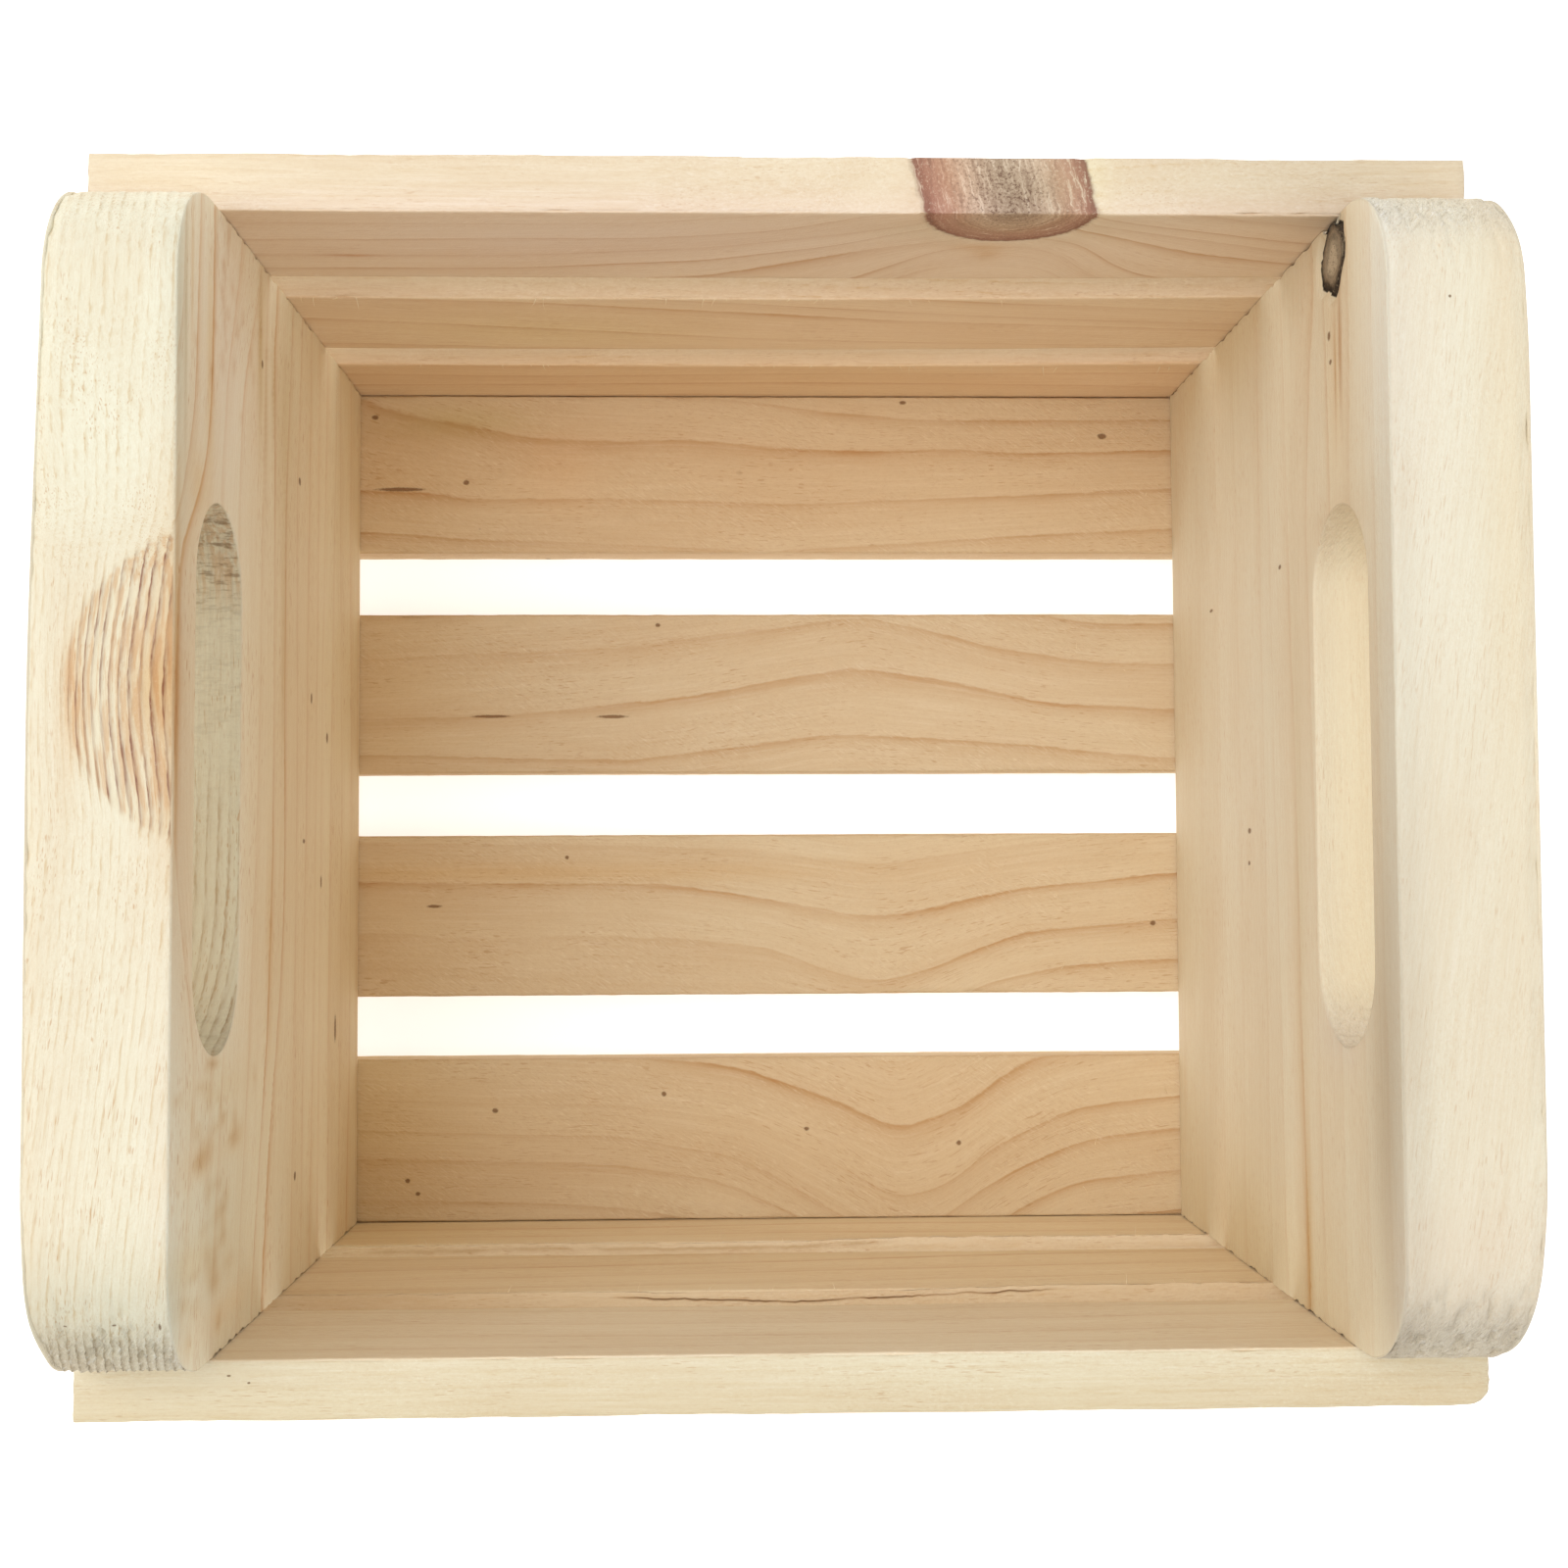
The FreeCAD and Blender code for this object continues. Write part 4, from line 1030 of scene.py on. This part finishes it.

# Soft patches of colour, each (centre, size, shade multiplier). Most are the wood's own tone and marks; the
# ones noted below are painted light and painted shade.
COLOUR_AND_PAINTED_LIGHT_PATCHES = {
    # The patch at x = -85 on each floor slat is painted shade: the left panel's shadow, darker and more
    # orange over the slats' left ends.
    "floor_slat_1": [((0, -65, 8), (300, 30, 9), (1.02, .98, .95)),
        ((-85, -65, 8), (24, 34, 20), (.92, .84, .66))],
    "floor_slat_2": [((0, -22, 8), (300, 30, 9), (.98, .94, .91)),
        ((-85, -22, 8), (24, 34, 20), (.93, .85, .72)), ((-50, -13.5, 8), (60, 2, 20), (.96, .88, .76)),
        ((0, -22, 8), (34, 34, 20), (1, 1.02, 1.04))],
    "floor_slat_3": [((0, 22, 8), (300, 30, 9), (.97, .94, .93)),
        ((-85, 22, 8), (24, 34, 20), (.92, .82, .66)), ((50, 26, 8), (34, 14, 20), (1.02, 1.03, 1.05))],
    "floor_slat_4": [((0, 65, 8), (300, 30, 9), (1.02, .95, .9)),
        ((-85, 65, 8), (24, 34, 20), (.93, .87, .76)), ((-62, 76, 8), (14, 3.5, 20), (.9, .91, .78)),
        ((-42, 66, 8), (9, 8, 20), (1.02, .97, .93))],
    # The first patch of each back and front slat lightens its whole inner face: painted light in place of
    # more fill light on the walls, with a small shift of hue.
    "back_bottom_slat": [((0, 81.5, 20), (300, 3, 40), (1.1, 1.01, .96)),
        ((70, 81.5, 20), (34, 3, 20), (1.1, 1.12, 1.2))],
    "back_middle_slat": [((0, 81.5, 55), (300, 3, 40), (1.09, 1.03, 1.04)),
        ((-40, 86, 55), (30, 30, 14), (.97, .99, .9))],
    "back_top_slat": [((0, 81.5, 100), (300, 3, 40), (1.05, 1.02, 1.1)),
        ((32, 82, 98.5), (2.2, 6, 2.6), (.9, .8, .68)), ((30, 82, 102), (5, 3, 1.6), (.93, .84, .74)),
        ((43, 86, 117), (4.5, 8, 4), (1.06, 1.12, 1.06)), ((-66, 82, 96.8), (4, 3, .5), (.8, .58, .45)),
        ((-30, 82, 105), (40, 8, 12), (.97, .97, 1.02)), ((24, 87, 117), (5, 7, 4), (.95, .84, .8)),
        ((36, 84, 117), (5, 3.5, 4), (.8, .78, .74)), ((82, 86, 117), (30, 12, 5), (.84, .83, .82)),
        ((33, 81.5, 110), (15, 1.5, 6), (.85, .85, .78))],
    "front_bottom_slat": [((0, -82, 20), (300, 6, 40), (1.21, 1.27, 1.36)),
        ((-80, -82, 20), (26, 6, 40), (.96, .93, .82))],
    "front_middle_slat": [((0, -82, 60), (300, 6, 40), (1.11, 1.12, 1.13)),
        ((-70, -86, 74.3), (30, 9, 3), (.92, .87, .8))],
    "front_top_slat": [((0, -82, 100), (300, 5, 40), (1.08, 1.13, 1.22))],
    "left_end_panel": [((-90, 0, 138), (30, 300, 6), (.94, .97, 1.02)),
        ((-83, 11, 138), (3.2, 7, 4), (.9, .75, .58)), ((-94, 9, 138), (1.6, 9, 4), (.97, .86, .76)),
        ((-80.7, 0, 118), (4, 300, 32), (1.03, 1.03, 1.04)),
        ((-80.7, -60, 118), (4, 30, 26), (1, 1.04, 1.12)), ((-80.7, 60, 112), (4, 24, 20), (1.02, 1.03, 1.1)),
        ((-80.7, 0, 15), (4, 300, 42), (.96, .89, .78)), ((-80.7, -62, 112), (8, 20, 26), (.98, 1.01, .99)),
        ((-80.7, -53, 122), (4, 3, 18), (1, .94, .88)), ((-80.7, -66, 128), (4, 3, 12), (.97, .92, .84)),
        ((-80.7, -76, 110), (4, 3, 16), (1, .93, .86)), ((-80.7, -44, 112), (4, 3, 14), (.97, .94, .88)),
        ((-80.7, 60, 76), (8, 18, 7), (.92, .87, .79)), ((-80.7, 64, 83.5), (4, 7, 1.2), (.86, .78, .66)),
        ((-80.7, 0, 132), (3, 60, 5), (.95, .91, .87)), ((-80.7, -24, 83.3), (8, 13, 1.2), (.88, .74, .54)),
        ((-80.7, 28, 75), (8, 24, 1.3), (.88, .8, .68)), ((-80.7, 58, 121.5), (8, 16, 2.2), (.93, .83, .68)),
        ((-80.7, 40, 127), (8, 4, 4), (.95, .88, .78)), ((-80.7, 14, 137.2), (2.5, 26, 1.7), (.82, .64, .44)),
        ((-80.7, 64, 137), (3, 22, 2.2), (.88, .89, .87)), ((-80.7, 0, 75), (4, 60, 24), (.96, .91, .85)),
        ((-80.7, 68, 112), (4, 20, 14), (1.06, 1.07, 1.1)), ((-90, 52, 138), (30, 28, 6), (1, 1.04, 1.06)),
        ((-90, -71, 138), (30, 8, 8), (.82, .84, .83)), ((-80.7, 71, 92.5), (3, 9, .9), (.86, .78, .64)),
        ((-80.7, 62, 134), (3, 20, .8), (.84, .8, .72)), ((-80.7, 70, 131), (3, 12, .7), (.92, .82, .7)),
        ((-80.7, 66, 92), (3, 14, 1.6), (.88, .82, .7)), ((-80.7, 60, 88.5), (3, 14, 1), (.86, .78, .66))],
    # The first patch darkens the right panel's whole inner face: painted shade.
    "right_end_panel": [((80.7, 0, 70), (4, 200, 160), (.93, .93, .95)),
        ((80.7, 0, 60), (4, 50, 34), (1.04, 1.07, 1.13)), ((90, 0, 138), (30, 300, 6), (.92, .95, 1.01)),
        # The patch at (90, 36, 116) is painted shade at the back end of the slot.
        ((90, 36, 116), (14, 5, 13), (.88, .8, .72)), ((90, -38, 112), (14, 5, 10), (.97, .99, 1.1)),
        ((90, -64, 138), (30, 9, 7), (.97, .94, .94)), ((90, -72, 137), (30, 5, 5), (.9, .89, .9)),
        ((97, 35, 138), (4, 45, 5), (1.01, .98, .93)), ((86, 45, 138), (5, 40, 5), (1.03, 1.03, 1.05)),
        ((80.7, -72, 95), (8, 18, 1.6), (.86, .74, .58)), ((80.7, -10, 93), (8, 50, 2.4), (.94, .92, .87)),
        ((80.7, 56, 115), (6, 18, 4.5), (.98, .91, .83)), ((80.7, 63, 117.6), (5, 9, .7), (.7, .5, .38)),
        ((80.7, 60, 115.2), (5, 8, .5), (.8, .64, .5)), ((80.7, 77, 115), (7, 10, 9), (.92, .88, .82)),
        # The patches at y = -80 and 80 are painted shade in the corners where the walls meet the panel.
        ((80.7, -80, 60), (5, 16, 60), (.94, .9, .8)), ((80.7, 80, 50), (5, 10, 40), (.98, .93, .84)),
        ((80.7, 0, 132), (6, 90, 7), (.93, .93, .93)), ((80.7, -46, 132), (4, 36, 8), (.78, .75, .72)),
        ((80.7, 62, 133), (4, 24, 7), (1.08, 1.12, 1.2))],
}

# Dark resin specks, each (centre, size).
SPOTS = {
    "floor_slat_1": [((-54, -60, 8.7), (.6, .5, 2)), ((-71, -73.5, 8.7), (.5, .5, 2)),
        ((-69, -76, 8.7), (.5, .4, 2)), ((-21, -57, 8.7), (.5, .5, 2)), ((7, -64, 8.7), (.5, .4, 2)),
        ((37, -67, 8.7), (.5, .5, 2))],
    "floor_slat_2": [((-40, -10.5, 8.7), (.4, .4, 2)), ((76, -24, 8.7), (.6, .5, 2)),
        ((-66, -20, 8.7), (1.5, .3, 2))],
    "floor_slat_3": [((-55, 17.4, 8.7), (4, .3, 2)), ((-31, 17.3, 8.7), (3, .35, 2)),
        ((-22, 35.5, 8.7), (.5, .4, 2))],
    "floor_slat_4": [((-60, 64, 8.7), (.6, .5, 2)), ((-78, 77, 8.7), (.7, .5, 2)),
        ((27, 80.2, 8.7), (.7, .4, 2)), ((67, 73.5, 8.7), (.9, .6, 2)), ((-73, 62.6, 8.7), (5, .4, 2))],
    "front_top_slat": [((-78.2, -83.7, 117), (.3, .14, 2)), ((-75.4, -84.7, 117), (.22, .16, 2))],
    "left_end_panel": [((-80.7, -64, 64), (2, .8, .8)), ((-80.7, -8, 59), (2, .4, 1)),
        ((-80.7, 11, 40), (2, 1, .9)), ((-80.7, -42, 31), (2, 2.6, .9)), ((-80.7, 17, 53.5), (2, 1, .7)),
        ((-80.7, -15, 44.5), (2, 1.2, .6)), ((-80.7, 53, 64), (2, .7, .9)), ((-80.7, 66, 91), (2, .7, .6)),
        ((-94.4, -72.2, 137), (.3, .13, 2)), ((-88.1, -72.2, 137), (.3, .13, 2)),
        ((-82.2, -72.5, 137), (.2, .5, 2))],
    "right_end_panel": [((80.7, 65, 112.5), (2, .7, .7)), ((80.7, 61, 113), (2, .4, .6)),
        ((80.7, -7, 64), (2, .5, 1)), ((80.7, -12.5, 63.5), (2, .4, .7)), ((80.7, 35, 85), (2, .4, .8)),
        ((80.7, 34, 40), (2, .3, 1.2)), ((89.2, 63.3, 138.5), (.2, .2, 2))],
}

# Early and late wood.
SLAT_WOOD = (colour(230, 212, 179), colour(196, 152, 102))
PANEL_WOOD = (colour(240, 231, 204), colour(212, 170, 120))
RED_KNOT = ([
    (0.00, colour(176, 152, 124)), (0.25, colour(184, 158, 130)), (0.45, colour(204, 176, 146)),
    (0.62, colour(190, 153, 123)), (0.78, colour(184, 142, 116)), (0.92, colour(160, 114, 92)),
    (1.0, colour(146, 104, 84)),
], colour(112, 82, 62), colour(234, 214, 184), 26.0, 0.15)
ENCASED_KNOT = ([
    (0.0, colour(214, 200, 176)), (0.45, colour(190, 176, 152)), (0.68, colour(140, 124, 104)),
    (0.82, colour(66, 56, 46)), (1.0, colour(40, 33, 28)),
], colour(46, 38, 30), colour(190, 178, 152), 3.0, 0.95)


def knot_rim(along):
    """Rings along the back rim: pushed round the knot, and slanting away to its right."""
    return 1.8 * bump(along, 33.0, 19.0) - 0.032 * np.maximum(along - 50.0, 0.0)


# Each slat's node and the sign of its inner face.
FLOOR = [("floor_slat_%d" % number, 1.0) for number in (1, 2, 3, 4)]
WALLS = [("%s_%s_slat" % (wall, level), inner_side)
         for wall, inner_side in (("back", -1.0), ("front", 1.0)) for level in ("bottom", "middle", "top")]
# What is particular to a wall slat.
TRAITS = {
    "back_bottom_slat": dict(lift=(0.0, 2.6)),
    "back_middle_slat": dict(lift=(2.4, 2.4)),
    "back_top_slat": dict(lift=(1.6, 0.0), knots=[((33.0, 83.0, 117.0), 12.7, -0.25)],
                          fades=[((33.0, 96.0), (14.0, 14.0))], sweep=knot_rim),
    "front_bottom_slat": dict(marks=[([(-76, -82.9), (-40, -82.6), (-20, -82.9), (0, -82.7), (22, -81.8)],
                                      0.42, 0.0, (0.80, 0.72, 0.62))]),
    "front_middle_slat": dict(marks=[([(-28, -82.6), (-12, -83.1), (0, -83.5), (24, -82.7), (47, -81.9)],
                                      0.11, 0.6, (0.56, 0.44, 0.34))]),
    "front_top_slat": dict(),
}
# Each wall's tints of its upper edges and of its rim, number of torn fibres, seeds of the wood and of the
# marks, amount of flecks, and radius of the worn corner.
WALL_LOOKS = {
    "back": ((1.0, 1.0, 1.03), (1.05, 1.10, 1.20), 22, 20.0, 600, 0.25, 0.0),
    "front": ((0.92, 0.87, 0.84), (0.92, 0.97, 0.98), 12, 30.0, 700, 0.35, 3.5),
}

nail_material = steel()
heads = {}
for node, inner_side in FLOOR + WALLS:
    axis = 2 if node.startswith("floor") else 1
    heads[node] = make_nails(node + "_nails", axis, -inner_side, nail_material)

chance = np.random.default_rng(41)
for number, (node, inner_side) in enumerate(FLOOR, 1):
    low, high = box_of(node)
    curls = []
    for _ in range(14 if number in (1, 4) else 7):
        place = (chance.uniform(56.0, 79.5), chance.uniform(low[1] + 1.0, high[1] - 1.0), high[2] - 0.15)
        curls.append((place, (chance.uniform(-1.0, 1.0), chance.uniform(-1.0, 1.0), 0.25)))
    material = pine(node, SLAT_WOOD, 3.0 * number, (0, 0, 1), flecks=0.36, pits=0.1, fuzzy=0.95)
    make_slat(node, inner_side, material, 100 * number, heads[node], curls, layer=1.7)

for node, inner_side in WALLS:
    wall, level, _ = node.split("_")
    edge_tint, rim_tint, count, wood_seed, seed, flecks, worn_corner = WALL_LOOKS[wall]
    low, high = box_of(node)
    side = (high if inner_side > 0 else low)[1] - 0.15 * inner_side
    whiskers = [((chance.uniform(-79.0, 79.0), side, high[2] - 0.25), (0.0, 0.5 * inner_side, -1.0))
                for _ in range(count)]
    on_rim = level == "top"
    material = pine(node, SLAT_WOOD, wood_seed + len(level), (0, 1, 0), flecks,
                    knot=RED_KNOT if node == "back_top_slat" else None)
    make_slat(node, inner_side, material, seed + len(level), heads[node], [] if on_rim else whiskers,
              top_tint=rim_tint if on_rim else edge_tint, worn_corner=worn_corner, **TRAITS[node])

# Small smudges scattered over the front and the back part of the left panel's inner face.
for count, y, y_spread, z, z_spread, widest, low_size, high_size, shade in (
        (46, -58.0, 12.0, 116.0, 11.0, 2.0, 0.8, 3.6, (0.92, 0.85, 0.77)),
        (26, 68.0, 6.0, 108.0, 8.0, 2.2, 0.5, 1.4, (0.91, 0.83, 0.76))):
    for _ in range(count):
        smudge = (-80.7, chance.normal(y, y_spread), chance.normal(z, z_spread))
        size = (3.0, chance.uniform(0.6, widest), chance.uniform(low_size, high_size))
        COLOUR_AND_PAINTED_LIGHT_PATCHES["left_end_panel"].append((smudge, size, shade))
left_material = pine("left_end_panel", PANEL_WOOD, 41.0, (1, 0, 0), flecks=0.5, fuzzy=0.55)
right_material = pine("right_end_panel", PANEL_WOOD, 47.0, (1, 0, 0), knot=ENCASED_KNOT)
make_panel("left_end_panel", -1.0, left_swirl, 1.6, left_material, 900, front_end_grain_and_shade=(0.86, 0.87, 0.88),
           back_end=(1.06, 1.10, 1.13), rim_lines=0.7, knocked=(1.3, 0.0), slot_tint=(0.80, 0.80, 0.76),
           slot_lines=1.2, torn=0.9, ridged=1.2, taper=1.5, sanded=(1.0, 0.25))
make_panel("right_end_panel", 1.0, right_swirl, 1.9, right_material, 950, front_end_grain_and_shade=(0.77, 0.76, 0.77),
           back_end=(1.0, 1.02, 1.06), rim_lines=0.13, knocked=(1.6, 0.8),
           knots=[((80.7, 76.4, 114.2), 5.5, 0.9)])


# ---- the stage

FLOOR_REACH = 3.0

paper = Nodes("stage_paper")
cloud = paper.noise(paper.vector("MULTIPLY", paper.new("TexCoord").outputs["Object"], (3.0, 3.0, 3.0)), 3.0)
paper.put(paper.surface["Base Color"], paper.mix(cloud, (0.90, 0.90, 0.90, 1.0), (0.94, 0.94, 0.94, 1.0)))
paper.surface["Roughness"].default_value = 0.9
paper.surface["Specular IOR Level"].default_value = 0.0
paper.surface["Emission Color"].default_value = (1.0, 1.0, 1.0, 1.0)
paper.surface["Emission Strength"].default_value = 0.55
floor_mesh = bpy.data.meshes.new("studio_floor")
corners = [(x * FLOOR_REACH, y * FLOOR_REACH, 0.0) for x, y in ((-1, -1), (1, -1), (1, 1), (-1, 1))]
floor_mesh.from_pydata(corners, [], [(0, 1, 2, 3)])
floor_mesh.materials.append(paper.material)
studio_floor = placed("studio_floor", floor_mesh)

world = bpy.data.worlds.new("studio")
bpy.context.scene.world = world
world.use_nodes = True
backdrop = world.node_tree.nodes["Background"]
backdrop.inputs["Color"].default_value = (1.0, 0.99, 0.97, 1.0)
backdrop.inputs["Strength"].default_value = 0.62


def softbox(name, place, aim, size, power, shade):
    """A large soft lamp at a place, turned to face the aim point."""
    lamp = bpy.data.lights.new(name, "AREA")
    lamp.shape = "SQUARE"
    lamp.size = size
    lamp.energy = power
    lamp.color = shade
    x, y, z = np.array(place) - np.array(aim)
    holder = placed(name, lamp)
    holder.location = place
    holder.rotation_euler = (np.arctan2(np.hypot(x, y), z), 0.0, np.arctan2(x, -y))


softbox("key", (-0.62, 0.14, 1.15), (0.0, 0.0, 0.08), 1.1, 8.5, (1.0, 0.985, 0.965))
softbox("fill", (0.50, -0.30, 1.3), (0.0, 0.0, 0.05), 1.0, 3.0, (1.0, 0.99, 0.98))

lens = bpy.data.cameras.new("camera")
lens.sensor_width = 36.0
lens.lens = 45.0
lens.clip_start = 0.01
camera = placed("camera", lens)
camera.location = (-0.00818, -0.01415, 0.39635)
camera.rotation_euler = (0.0465, -0.0283, -0.0047)
bpy.context.scene.camera = camera
bpy.context.scene.view_settings.view_transform = "Standard"
